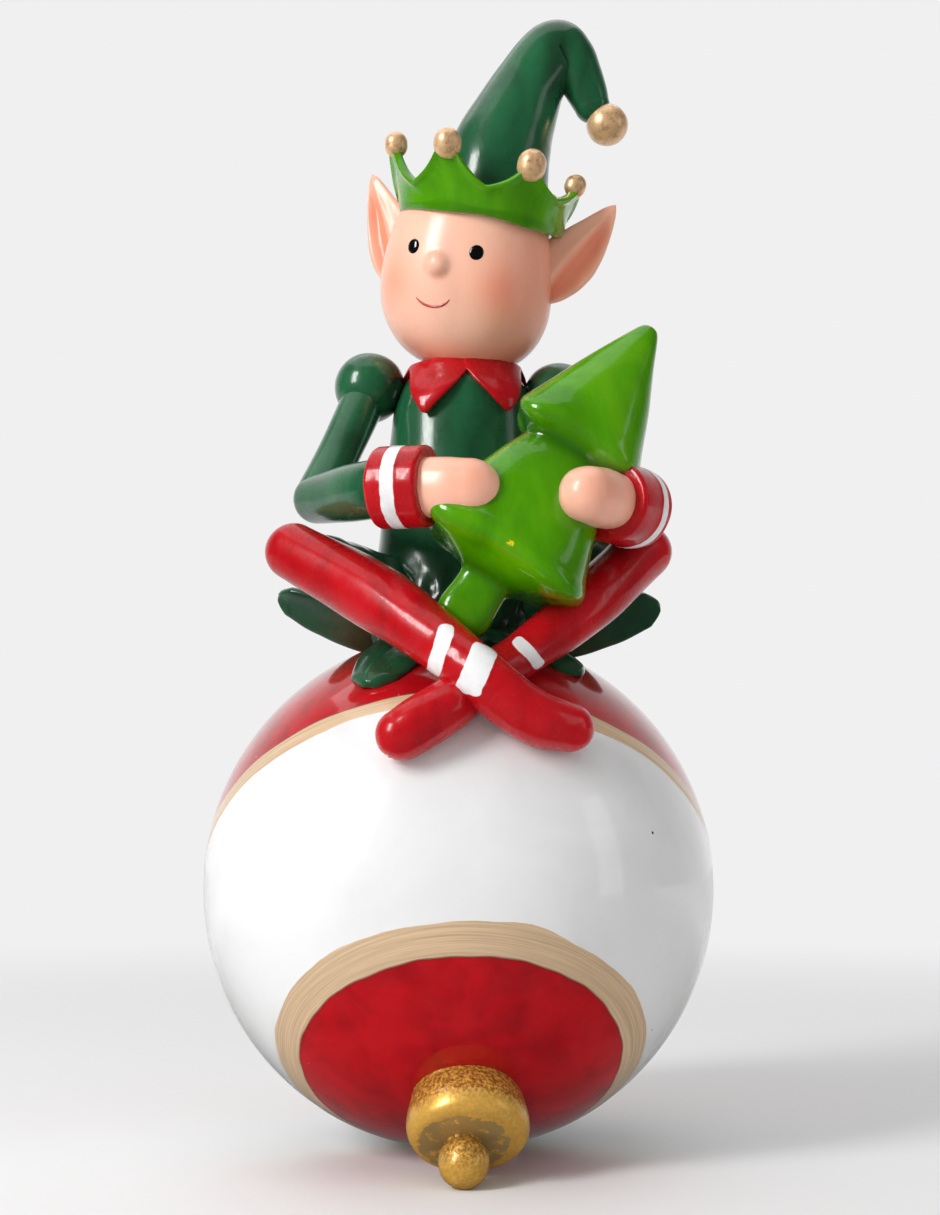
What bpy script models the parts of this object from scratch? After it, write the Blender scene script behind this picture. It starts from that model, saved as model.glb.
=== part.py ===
"""Elf figurine: an elf with a small tree, sitting cross-legged on a large bauble, cast in one piece.

Metres, +Z up. The figure looks towards -Y and +X is on the viewer's right. The origin is the middle
of the small flat that the bauble rests on. Every form is a closed body of its own, and one Boolean
union joins them all into the single casting.
"""
import math

import bmesh
import bpy
from mathutils import Matrix, Vector

# Bauble, cap and knob
BAUBLE_RADIUS = 0.052
GROUND_FLAT_SINK = 0.0004
CAP_RADIUS = 0.0112
CAP_HEIGHT = 0.0084
KNOB_RADIUS = 0.0044
KNOB_STAND = 0.0042
CAP_YAW = math.radians(1.6)
RED_CAP_ANGLE = math.radians(35.5)
LOWER_RING_ANGLE = math.radians(42.5)
WHITE_BAND_ANGLE = math.radians(87.0)
UPPER_RING_ANGLE = math.radians(94.0)

# Tunic
TORSO_HEIGHT = 0.058
SKIRT_HALF_WIDTH = 0.0185
WAIST_HALF_WIDTH = 0.0165
CHEST_HALF_WIDTH = 0.0132
NECK_RADIUS = 0.0085
TORSO_DEPTH_RATIO = 0.82
TORSO_LEAN = math.radians(1.2)
LEAF_WIDTH = 0.0128
LEAF_THICKNESS = 0.0026
LEAF_ROOT_SHARE = 0.70

# Collar
COLLAR_RADIUS = 0.0122
COLLAR_PETALS = 5
PETAL_LENGTH = 0.0138
PETAL_FLARE = 0.0016
PETAL_WIDTH = 0.0145
PETAL_THICKNESS = 0.0022

# Arms
SHOULDER_SPREAD = 0.0201
SHOULDER_RADIUS = 0.0075
SHOULDER_TILT = 0.0011
UPPER_ARM_RADIUS = 0.0043
ELBOW_RADIUS = 0.0047
FOREARM_RADIUS = 0.0056
CUFF_RADIUS = 0.0079
CUFF_LENGTH = 0.0104
HAND_RADIUS = 0.0056
HAND_LENGTH = 0.0150

# Legs
KNEE_SPREAD = 0.0350
KNEE_RISE = 0.0150
KNEE_RADIUS = 0.0058
THIGH_RADIUS = 0.0075
ANKLE_RADIUS = 0.0047
FOOT_RADIUS = 0.0049

# Head
HEAD_HALF_WIDTH = 0.0178
HEAD_HALF_DEPTH = 0.0168
HEAD_HALF_HEIGHT = 0.0193
HEAD_YAW = math.radians(-17.5)
HEAD_NOD = math.radians(13.0)
HEAD_ROLL = math.radians(7.5)
NOSE_RADIUS = 0.0022
EYE_RADIUS = 0.0015
EAR_LENGTH = 0.0215
EAR_WIDTH = 0.0116
EAR_THICKNESS = 0.0026

# Crown and hat
CROWN_RADIUS = 0.0176
CROWN_FLARE = 0.0035
CROWN_WALL = 0.0019
CROWN_VALLEY_HEIGHT = 0.0056
CROWN_BACK_VALLEY_HEIGHT = 0.0022
CROWN_TIP_HEIGHTS = (0.0118, 0.0130, 0.0100, 0.0082, 0.0054, 0.0038, 0.0044)
CROWN_FRONT_TIPS = 4
CROWN_FIRST_TIP = math.radians(-57.5)
CROWN_BALL_RADIUS = 0.0027
HAT_RADIUS = 0.0118
HAT_HEIGHT = 0.0378
HAT_REACH = 0.0141
HAT_BEND_RADIUS = 0.0049
HAT_DROOP = 0.0135
HAT_DROOP_REACH = 0.0080
HAT_DROOP_RADIUS = 0.0048
HAT_BALL_RADIUS = 0.0043

# Tree
TREE_LOWER_HALF = 0.0178
TREE_UPPER_HALF = 0.0131
TREE_NECK_HALF = 0.0084
TREE_TRUNK_HALF = 0.0056
TREE_DEPTH_RATIO = 0.78
TREE_TRUNK_LENGTH = 0.0141
TREE_LOWER_LENGTH = 0.0285
TREE_UPPER_LENGTH = 0.0291
TREE_CORNER_DROOP = 0.0016
TREE_LEAN = math.radians(32.8)
TREE_TURN = math.radians(-1.8)

# Facets
ROUND_SIDES = 16
SMALL_SIDES = 12
BALL_SIDES = 10
BAUBLE_SIDES = 38

COLOURS = {
    "crimson lacquer": ("#a8121a", 0.22, 0.0),
    "white lacquer": ("#f0efec", 0.18, 0.0),
    "champagne gold paint": ("#cdb28a", 0.42, 0.6),
    "gold leaf": ("#c8913a", 0.34, 1.0),
    "dark green lacquer": ("#1d5a3c", 0.24, 0.0),
    "bright green lacquer": ("#4c9a06", 0.24, 0.0),
    "skin lacquer": ("#f2bd9c", 0.34, 0.0),
    "black lacquer": ("#0c0a0a", 0.15, 0.0),
}

bauble_centre = Vector((0, 0, BAUBLE_RADIUS - GROUND_FLAT_SINK))
seat = bauble_centre + Vector((0, 0, BAUBLE_RADIUS))


def linear(channel):
    """One sRGB channel, 0 to 1, as the linear value that Blender's colours use."""
    return channel / 12.92 if channel <= 0.04045 else ((channel + 0.055) / 1.055) ** 2.4


def lacquer(name):
    """The painted finish of that name, made once and then shared."""
    if name in bpy.data.materials:
        return bpy.data.materials[name]
    hex_colour, roughness, metallic = COLOURS[name]
    channels = [linear(int(hex_colour[i:i + 2], 16) / 255) for i in (1, 3, 5)]
    material = bpy.data.materials.new(name)
    material.use_nodes = True
    shader = material.node_tree.nodes["Principled BSDF"]
    shader.inputs["Base Color"].default_value = (*channels, 1.0)
    shader.inputs["Roughness"].default_value = roughness
    shader.inputs["Metallic"].default_value = metallic
    material.diffuse_color = (*channels, 1.0)
    return material


def finish_form(name, bm, materials, forms):
    """Turn a bmesh into a smooth-shaded object that joins the casting."""
    bmesh.ops.remove_doubles(bm, verts=bm.verts, dist=1e-6)
    bmesh.ops.recalc_face_normals(bm, faces=bm.faces)
    mesh = bpy.data.meshes.new(name)
    bm.to_mesh(mesh)
    bm.free()
    for material in materials:
        mesh.materials.append(lacquer(material))
    mesh.shade_smooth()
    mesh.set_sharp_from_angle(angle=math.radians(50))
    form = bpy.data.objects.new(name, mesh)
    form.hide_render = True
    form.display_type = "WIRE"
    forms.objects.link(form)
    return form


def skin_rings(rings, closed=False):
    """A closed body through rings of equal count; a ring of one point is a pole.

    With closed set, the last ring joins the first, which makes a hoop.
    """
    bm = bmesh.new()
    verts = [[bm.verts.new(point) for point in ring] for ring in rings]
    pairs = list(zip(verts, verts[1:]))
    if closed:
        pairs.append((verts[-1], verts[0]))
    for lower, upper in pairs:
        count = max(len(lower), len(upper))
        for i in range(count):
            j = (i + 1) % count
            if len(lower) == 1:
                bm.faces.new((lower[0], upper[j], upper[i]))
            elif len(upper) == 1:
                bm.faces.new((lower[i], lower[j], upper[0]))
            else:
                bm.faces.new((lower[i], lower[j], upper[j], upper[i]))
    return bm


def smooth_path(points, steps):
    """Points along a Catmull-Rom curve through the given vectors, with steps between each two."""
    ends = [points[0] * 2 - points[1], *points, points[-1] * 2 - points[-2]]
    path = []
    for a, b, c, d in zip(ends, ends[1:], ends[2:], ends[3:]):
        for i in range(steps):
            t = i / steps
            path.append(0.5 * (2 * b + (c - a) * t + (2 * a - 5 * b + 4 * c - d) * t * t
                               + (3 * b - a - 3 * c + d) * t ** 3))
    path.append(points[-1].copy())
    return path


def swept(points, radii, sides, steps):
    """A round limb along a smooth path, its radius running smoothly between the given ones.

    Each end closes with a dome.
    """
    stations = [point.to_4d() for point in points]
    for station, radius in zip(stations, radii):
        station.w = radius
    path = smooth_path(stations, steps)
    centres = [station.to_3d() for station in path]
    widths = [station.w for station in path]
    tangents = [(b - a).normalized() for a, b in zip([centres[0], *centres], [*centres[1:], centres[-1]])]
    for end, outward in ((0, -1), (-1, 1)):
        centre, width, tangent = centres[end], widths[end], tangents[end]
        domes = [(centre + tangent * (outward * width * math.sin(angle)), width * math.cos(angle), tangent)
                 for angle in (math.radians(34), math.radians(65))]
        pole = (centre + tangent * (outward * width), 0.0, tangent)
        extra = [*domes, pole]
        if outward < 0:
            start = extra[::-1]
        else:
            finish = extra
    rings = []
    side = tangents[0].orthogonal().normalized()
    for centre, width, tangent in [*start, *zip(centres, widths, tangents), *finish]:
        if width == 0.0:
            rings.append([centre])
            continue
        side = (side - tangent * side.dot(tangent)).normalized()
        up = tangent.cross(side)
        ring = []
        for i in range(sides):
            angle = 2 * math.pi * i / sides
            ring.append(centre + (side * math.cos(angle) + up * math.sin(angle)) * width)
        rings.append(ring)
    return skin_rings(rings)


def turned(profile, axis, foot, sides):
    """A turned body: radius and reach pairs spun about the axis that leaves the foot point."""
    turn = axis.to_track_quat("Z", "Y").to_matrix()
    rings = []
    for radius, reach in profile:
        if radius == 0.0:
            rings.append([foot + axis * reach])
            continue
        rings.append([foot + axis * reach + turn @ Vector((radius * math.cos(2 * math.pi * i / sides),
                                                           radius * math.sin(2 * math.pi * i / sides), 0))
                      for i in range(sides)])
    return skin_rings(rings)


def ball(centre, radius, sides=SMALL_SIDES):
    """A small ball, as many rows high as half its sides."""
    rows = sides // 2
    profile = [(radius * math.sin(math.pi * i / rows) if 0 < i < rows else 0.0,
                -radius * math.cos(math.pi * i / rows)) for i in range(rows + 1)]
    return turned(profile, Vector((0, 0, 1)), centre, sides)


def leaf_plate(spine, widths, normals, thickness, sides=10):
    """A thin pointed plate along a spine: every section is a flat oval with a low midrib."""
    rings = [[spine[0]]]
    for before, centre, after, width, normal in zip(spine, spine[1:], spine[2:], widths, normals):
        along = (after - before).normalized()
        across = along.cross(normal).normalized()
        ring = []
        for i in range(sides):
            angle = 2 * math.pi * i / sides
            sideways = math.cos(angle)
            rise = math.sin(angle) * thickness / 2 - thickness * 0.35 * sideways * sideways
            ring.append(centre + across * (width / 2 * sideways) + normal * rise)
        rings.append(ring)
    rings.append([spine[-1]])
    return skin_rings(rings)


def cap_axis():
    """The line from the bauble's middle through its cap, tipped until the knob meets the floor."""
    knob_reach = BAUBLE_RADIUS + CAP_HEIGHT + KNOB_STAND
    tip = math.asin((bauble_centre.z - KNOB_RADIUS) / knob_reach)
    return Vector((math.sin(CAP_YAW) * math.cos(tip), -math.cos(CAP_YAW) * math.cos(tip), -math.sin(tip)))


def bauble(axis):
    """The bauble, turned about the cap's axis, painted in bands and cut flat where it rests."""
    rows = BAUBLE_SIDES // 2
    bands = (RED_CAP_ANGLE, LOWER_RING_ANGLE, WHITE_BAND_ANGLE, UPPER_RING_ANGLE)
    angles = [math.pi * i / rows for i in range(rows + 1)]
    for band in bands:
        nearest = min(range(1, rows), key=lambda i: abs(angles[i] - band))
        angles[nearest] = band
    profile = [(BAUBLE_RADIUS * math.sin(a) if 0 < a < math.pi else 0.0, BAUBLE_RADIUS * math.cos(a))
               for a in angles]
    bm = turned(profile, axis, bauble_centre, BAUBLE_SIDES)
    for face in bm.faces:
        polar = axis.angle(face.calc_center_median() - bauble_centre)
        crossed = sum(polar > band for band in bands)
        face.material_index = (0, 2, 1, 2, 0)[crossed]
    cut = bmesh.ops.bisect_plane(bm, geom=[*bm.verts, *bm.edges, *bm.faces], dist=1e-6,
                                 plane_co=(0, 0, 0), plane_no=(0, 0, -1), clear_outer=True)
    rim = [edge for edge in cut["geom_cut"] if isinstance(edge, bmesh.types.BMEdge)]
    bmesh.ops.contextual_create(bm, geom=rim)
    return bm


def add_cap(axis, forms):
    """The bauble's metal-look cap with rounded shoulders, and the knob in its middle."""
    face = BAUBLE_RADIUS + CAP_HEIGHT
    profile = ((0.0, BAUBLE_RADIUS * 0.90), (CAP_RADIUS * 0.88, BAUBLE_RADIUS * 0.91),
               (CAP_RADIUS * 0.90, BAUBLE_RADIUS * 0.965), (CAP_RADIUS * 0.97, face - CAP_HEIGHT * 0.80),
               (CAP_RADIUS, face - CAP_HEIGHT * 0.55), (CAP_RADIUS * 0.99, face - CAP_HEIGHT * 0.32),
               (CAP_RADIUS * 0.94, face - CAP_HEIGHT * 0.14), (CAP_RADIUS * 0.82, face),
               (CAP_RADIUS * 0.55, face + CAP_HEIGHT * 0.05), (0.0, face + CAP_HEIGHT * 0.06))
    finish_form("cap", turned(profile, axis, bauble_centre, 20), ["gold leaf"], forms)
    knob = bauble_centre + axis * (face + KNOB_STAND)
    finish_form("knob", ball(knob, KNOB_RADIUS, 14), ["gold leaf"], forms)


def torso_point(height):
    """The middle of the tunic at a height above the seat, on its slightly leaning axis."""
    return seat + Vector((math.tan(TORSO_LEAN) * height, 0.002, height))


def torso_half_width(height):
    """Half the tunic's width at a height above the seat, from the named widths."""
    stations = ((-0.20, SKIRT_HALF_WIDTH * 0.93), (0.08, SKIRT_HALF_WIDTH), (0.42, WAIST_HALF_WIDTH),
                (0.66, CHEST_HALF_WIDTH * 1.08), (0.84, CHEST_HALF_WIDTH), (0.94, CHEST_HALF_WIDTH * 0.88),
                (1.00, NECK_RADIUS), (1.10, NECK_RADIUS * 0.9))
    share = height / TORSO_HEIGHT
    for (low, wide_low), (high, wide_high) in zip(stations, stations[1:]):
        if share <= high:
            part = (share - low) / (high - low)
            return wide_low + (wide_high - wide_low) * part
    return stations[-1][1]


def add_tunic(forms):
    """The tunic's body: oval sections from the seat up to the neck."""
    rings = [[torso_point(TORSO_HEIGHT * -0.22)]]
    for share in (-0.20, -0.06, 0.08, 0.25, 0.42, 0.54, 0.66, 0.76, 0.84, 0.90, 0.95, 1.00, 1.09):
        height = TORSO_HEIGHT * share
        wide = torso_half_width(height)
        middle = torso_point(height)
        rings.append([middle + Vector((wide * math.cos(2 * math.pi * i / ROUND_SIDES),
                                       wide * TORSO_DEPTH_RATIO * math.sin(2 * math.pi * i / ROUND_SIDES), 0))
                      for i in range(ROUND_SIDES)])
    rings.append([torso_point(TORSO_HEIGHT * 1.10)])
    finish_form("tunic", skin_rings(rings), ["dark green lacquer"], forms)


def on_bauble(azimuth, elevation, lift):
    """A place over the bauble: azimuth from the front towards +X, elevation above its middle."""
    reach = BAUBLE_RADIUS + lift
    return bauble_centre + Vector((math.sin(azimuth) * math.cos(elevation),
                                   -math.cos(azimuth) * math.cos(elevation),
                                   math.sin(elevation))) * reach


def add_skirt_leaves(forms):
    """Pointed leaves round the tunic's hem: most drape on the bauble, and those at the hips lift.

    Each row gives a leaf's azimuth in degrees, its reach beyond the root, the rise of its tip and
    the twist of its blade in degrees. Where the rise is negative the leaf lies on the bauble.
    """
    leaves = ((14, 0.0125, -0.02, 0), (48, 0.0195, -0.02, 0), (93, 0.0300, 0.0058, -58), (140, 0.0150, -0.02, 0),
              (182, 0.0150, -0.02, 0), (224, 0.0150, -0.02, 0), (268, 0.0250, 0.0095, 34), (322, 0.0190, -0.02, 0))
    steps = 6
    for number, (degrees, reach, rise, twist) in enumerate(leaves, start=1):
        azimuth = math.radians(degrees)
        outward = Vector((math.sin(azimuth), -math.cos(azimuth), 0))
        root = SKIRT_HALF_WIDTH * LEAF_ROOT_SHARE
        spine = []
        for step in range(steps + 1):
            share = step / steps
            flat = root + reach * share
            ground = bauble_centre.z + math.sqrt(max(BAUBLE_RADIUS ** 2 - flat ** 2, 0.0))
            lying = ground + LEAF_THICKNESS * 0.2 / (ground - bauble_centre.z) * BAUBLE_RADIUS
            raised = seat.z + 0.0006 - root * 0.12 + rise * share ** 1.2
            spine.append(outward * flat + Vector((torso_point(0).x, 0, max(lying, raised))))
        across = Vector((0, 0, 1)).cross(outward)
        normals = []
        for before, after in zip(spine, spine[2:]):
            along = (after - before).normalized()
            normals.append(Matrix.Rotation(math.radians(twist), 3, along) @ along.cross(across))
        normals = [normal if normal.z > 0 else -normal for normal in normals]
        widths = [LEAF_WIDTH * w for w in (0.90, 1.0, 0.98, 0.86, 0.62)]
        finish_form(f"skirt_leaf_{number}", leaf_plate(spine, widths, normals, LEAF_THICKNESS, 8),
                    ["dark green lacquer"], forms)


def add_collar(forms):
    """The collar: a low pad under the head, and petals lying down over chest and shoulders."""
    top = torso_point(TORSO_HEIGHT)
    pad = ((0.0, -0.0052), (COLLAR_RADIUS * 0.88, -0.0048), (COLLAR_RADIUS, -0.0012),
           (COLLAR_RADIUS * 0.96, 0.0012), (COLLAR_RADIUS * 0.60, 0.0020), (0.0, 0.0022))
    finish_form("collar_pad", turned(pad, Vector((0, 0, 1)), top, ROUND_SIDES), ["crimson lacquer"], forms)
    for i in range(COLLAR_PETALS):
        azimuth = 2 * math.pi * i / COLLAR_PETALS - math.radians(31)
        outward = Vector((math.sin(azimuth), -math.cos(azimuth), 0))
        spine, normals = [], []
        for step in range(6):
            share = step / 5
            height = TORSO_HEIGHT - 0.0008 - PETAL_LENGTH * share
            wide = max(torso_half_width(height), COLLAR_RADIUS * 0.9)
            depth = wide * (abs(outward.x) + TORSO_DEPTH_RATIO * (1 - abs(outward.x)))
            spine.append(torso_point(height) + outward * (depth + PETAL_FLARE * share))
            normals.append((outward + Vector((0, 0, 0.25))).normalized())
        widths = [PETAL_WIDTH * w for w in (1.0, 0.92, 0.72, 0.42)]
        finish_form(f"collar_petal_{i + 1}", leaf_plate(spine, widths, normals[1:-1], PETAL_THICKNESS, 8),
                    ["crimson lacquer"], forms)


def tree_axis():
    """The foot of the tree's trunk, between the shins, and the direction from there to its tip."""
    foot = seat + Vector((-0.0006, -0.0330, -0.0023))
    direction = Vector((math.sin(TREE_LEAN), 0.074, math.cos(TREE_LEAN))).normalized()
    return foot, direction


def tree_point(share):
    """A place on the tree's axis, 0 at the foot of the trunk and 1 at the tip."""
    foot, direction = tree_axis()
    return foot + direction * (share * (TREE_TRUNK_LENGTH + TREE_LOWER_LENGTH + TREE_UPPER_LENGTH))


def add_tree(forms):
    """The tree: two tiers and a trunk, all of rounded square section, drooping at the corners.

    Each row of a tier gives a reach along the axis, half the section's width, the share of the
    corner droop and how square the section is.
    """
    foot, direction = tree_axis()
    across = direction.cross(Vector((0, 1, 0))).normalized()
    across = Matrix.Rotation(TREE_TURN, 3, direction) @ across
    depth = direction.cross(across)

    def section(reach, half, droop, power):
        ring = []
        for i in range(ROUND_SIDES):
            angle = 2 * math.pi * i / ROUND_SIDES
            u, v = math.cos(angle), math.sin(angle)
            scale = half / (abs(u) ** power + abs(v) ** power) ** (1 / power)
            sag = TREE_CORNER_DROOP * droop * (2 * abs(u * v)) ** 2
            ring.append(foot + direction * (reach - sag) + across * (u * scale)
                        + depth * (v * scale * TREE_DEPTH_RATIO))
        return ring

    def tier(name, start, rows, finish):
        rings = [[foot + direction * start], *[section(*row) for row in rows], [foot + direction * finish]]
        finish_form(name, skin_rings(rings), ["bright green lacquer"], forms)

    lower = TREE_TRUNK_LENGTH
    upper = lower + TREE_LOWER_LENGTH
    tip = upper + TREE_UPPER_LENGTH
    tier("tree_trunk", 0.0,
         ((0.0004, TREE_TRUNK_HALF * 0.80, 0, 3.6), (0.0018, TREE_TRUNK_HALF, 0, 3.6),
          (lower + 0.0040, TREE_TRUNK_HALF * 0.92, 0, 3.6)), lower + 0.0050)
    tier("tree_lower_tier", lower - 0.0048,
         ((lower - 0.0044, TREE_LOWER_HALF * 0.37, 0.1, 3.8), (lower - 0.0024, TREE_LOWER_HALF * 0.58, 0.5, 4.2),
          (lower - 0.0002, TREE_LOWER_HALF * 0.86, 1, 4.5), (lower + 0.0010, TREE_LOWER_HALF * 0.97, 1, 4.5),
          (lower + 0.0026, TREE_LOWER_HALF, 1, 4.5),
          (lower + 0.0050, TREE_LOWER_HALF * 0.93, 0.9, 4.2),
          (lower + TREE_LOWER_LENGTH * 0.50, TREE_LOWER_HALF * 0.77, 0.5, 3.8),
          (upper + 0.0005, TREE_NECK_HALF, 0, 3.2), (upper + 0.0040, TREE_NECK_HALF * 0.85, 0, 3.0)),
         upper + 0.0050)
    tier("tree_upper_tier", upper + 0.0028,
         ((upper + 0.0012, TREE_UPPER_HALF * 0.70, 0.6, 4.5), (upper, TREE_UPPER_HALF * 0.91, 1, 4.5),
          (upper + 0.0010, TREE_UPPER_HALF * 0.98, 1, 4.5), (upper + 0.0024, TREE_UPPER_HALF, 1, 4.5),
          (upper + 0.0046, TREE_UPPER_HALF * 0.92, 0.9, 4.2),
          (upper + TREE_UPPER_LENGTH * 0.55, TREE_UPPER_HALF * 0.57, 0.4, 3.4),
          (tip - 0.0030, TREE_UPPER_HALF * 0.20, 0, 2.4), (tip - 0.0008, TREE_UPPER_HALF * 0.11, 0, 2.0)),
         tip)


def add_arm(side, elbow_offset, hand_share, hand_offset, hand_turn, forms):
    """One arm from its ball shoulder to the mitten hand that lies on the tree.

    The elbow and the hand are placed from the shoulder and the tree, so the arm spans whatever
    lies between them, and the cuff sits just behind the hand on the forearm's own line.
    """
    height = TORSO_HEIGHT * 0.892
    shoulder = torso_point(height) + Vector((side * SHOULDER_SPREAD, 0.0, -side * SHOULDER_TILT))
    elbow = shoulder + elbow_offset
    hand = tree_point(hand_share) + hand_offset
    label = "left" if side > 0 else "right"
    heading = hand_turn.normalized()
    wrist = hand - heading * (HAND_LENGTH * 0.42)
    cuff_foot = wrist - heading * CUFF_LENGTH
    finish_form(f"{label}_shoulder", ball(shoulder, SHOULDER_RADIUS, 14), ["dark green lacquer"], forms)
    arm = swept([shoulder, shoulder.lerp(elbow, 0.55), elbow, elbow.lerp(cuff_foot, 0.5), cuff_foot,
                 cuff_foot + heading * (CUFF_LENGTH * 0.5)],
                [UPPER_ARM_RADIUS * 1.12, UPPER_ARM_RADIUS, ELBOW_RADIUS, FOREARM_RADIUS,
                 FOREARM_RADIUS, FOREARM_RADIUS], SMALL_SIDES, 2)
    finish_form(f"{label}_sleeve", arm, ["dark green lacquer"], forms)
    profile = ((0.0, 0.0010), (CUFF_RADIUS * 0.80, 0.0006), (CUFF_RADIUS * 0.95, 0.0), (CUFF_RADIUS, 0.0010),
               (CUFF_RADIUS, CUFF_LENGTH - 0.0010), (CUFF_RADIUS * 0.94, CUFF_LENGTH), (0.0, CUFF_LENGTH + 0.0002))
    finish_form(f"{label}_cuff", turned(profile, heading, cuff_foot, ROUND_SIDES), ["crimson lacquer"], forms)
    palm = swept([wrist - heading * 0.002, hand, hand + heading * (HAND_LENGTH * 0.5 - HAND_RADIUS * 0.9)],
                 [HAND_RADIUS * 0.92, HAND_RADIUS, HAND_RADIUS * 0.90], SMALL_SIDES, 2)
    finish_form(f"{label}_hand", palm, ["skin lacquer"], forms)


def add_arms(forms):
    """Both arms: one hand lies flat across the tree's left side, the other clasps its right side."""
    add_arm(-1, Vector((-0.0098, -0.0150, -0.0252)), 0.41, Vector((-0.0149, -0.0086, 0.0020)),
            Vector((0.93, -0.36, -0.02)), forms)
    add_arm(1, Vector((0.0105, -0.0110, -0.0255)), 0.41, Vector((0.0103, -0.0092, -0.0003)),
            Vector((-0.58, -0.81, 0.02)), forms)


def add_legs(forms):
    """Crossed legs: each runs from the hip out to the knee, then down over the bauble to the foot."""
    def leg(label, side, knee_forward, knee_lift, shin):
        hip = seat + Vector((side * SKIRT_HALF_WIDTH * 0.5, 0.0, 0.0065))
        knee = seat + Vector((side * KNEE_SPREAD + 0.0022, -knee_forward, KNEE_RISE + knee_lift))
        thigh = swept([hip, hip.lerp(knee, 0.55), knee], [THIGH_RADIUS, THIGH_RADIUS * 0.92, KNEE_RADIUS],
                      SMALL_SIDES, 2)
        finish_form(f"{label}_thigh", thigh, ["crimson lacquer"], forms)
        centres = [knee, *[on_bauble(math.radians(a), math.radians(e), lift) for a, e, lift, _ in shin]]
        radii = [KNEE_RADIUS, *[radius for *_, radius in shin]]
        finish_form(f"{label}_shin", swept(centres, radii, SMALL_SIDES, 2), ["crimson lacquer"], forms)

    over = ((-28.9, 58.8, 0.0119, KNEE_RADIUS), (-4.9, 48.5, 0.0085, ANKLE_RADIUS),
            (3.9, 42.0, 0.0085, ANKLE_RADIUS), (10.8, 37.4, 0.0068, FOOT_RADIUS),
            (18.0, 34.2, 0.0048, FOOT_RADIUS), (26.2, 32.8, 0.0040, FOOT_RADIUS * 0.90))
    under = ((47.1, 57.7, 0.0140, KNEE_RADIUS * 0.97), (22.6, 53.0, 0.0050, ANKLE_RADIUS * 0.92),
             (12.5, 48.8, 0.0036, ANKLE_RADIUS * 0.90), (2.6, 42.0, 0.0038, ANKLE_RADIUS * 0.95),
             (-2.8, 37.2, 0.0042, FOOT_RADIUS), (-8.2, 33.4, 0.0045, FOOT_RADIUS),
             (-12.2, 30.9, 0.0042, FOOT_RADIUS * 0.95))
    leg("right", -1, 0.018, -0.0004, over)
    leg("left", 1, 0.014, 0.0002, under)


def head_frame():
    """The head's own frame: turned to one side, nodding forward and leaning, on top of the neck."""
    turn = (Matrix.Rotation(HEAD_ROLL, 3, "Y") @ Matrix.Rotation(HEAD_NOD, 3, "X")
            @ Matrix.Rotation(HEAD_YAW, 3, "Z"))
    middle = torso_point(TORSO_HEIGHT) + Vector((0.0004, -0.0030, HEAD_HALF_HEIGHT - 0.0016))
    return middle, turn


def head_half(z):
    """Share of the head's full width at a local height: square-shouldered below, rounder above."""
    power = 2.2 if z < 0 else 2.4
    half = HEAD_HALF_HEIGHT if z < 0 else HEAD_HALF_HEIGHT * 1.12
    return max(1.0 - (abs(z) / half) ** power, 0.0) ** (1 / power)


def add_head(forms):
    """The head with its button nose and eyes, in the head's own frame."""
    middle, turn = head_frame()
    rows, columns = 12, 20
    rings = []
    for row in range(rows + 1):
        lift = -math.cos(math.pi * row / rows)
        z = lift * (HEAD_HALF_HEIGHT if lift < 0 else HEAD_HALF_HEIGHT * 1.12)
        if row in (0, rows):
            rings.append([middle + turn @ Vector((0, 0, z))])
            continue
        share = head_half(z)
        rings.append([middle + turn @ Vector((HEAD_HALF_WIDTH * share * math.cos(2 * math.pi * i / columns),
                                              HEAD_HALF_DEPTH * share * math.sin(2 * math.pi * i / columns), z))
                      for i in range(columns)])
    finish_form("head", skin_rings(rings), ["skin lacquer"], forms)

    def on_face(across, z):
        share = head_half(z)
        depth = HEAD_HALF_DEPTH * share * math.sqrt(1 - (across / (HEAD_HALF_WIDTH * share)) ** 2)
        local = Vector((across, -depth, z))
        return middle + turn @ local, (turn @ Vector((across, -depth, z * 0.4))).normalized()

    nose, out = on_face(0.0, HEAD_HALF_HEIGHT * 0.085)
    finish_form("nose", ball(nose + out * (NOSE_RADIUS * 0.35), NOSE_RADIUS, 12), ["skin lacquer"], forms)
    for side in (-1, 1):
        eye, out = on_face(side * HEAD_HALF_WIDTH * 0.385, HEAD_HALF_HEIGHT * 0.245)
        dome = ((0.0, -0.0008), (EYE_RADIUS, -0.0008), (EYE_RADIUS, 0.0001), (EYE_RADIUS * 0.7, 0.00045),
                (0.0, 0.0006))
        finish_form(f"eye_{side + 2}", turned(dome, out, eye, SMALL_SIDES), ["black lacquer"], forms)


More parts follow.
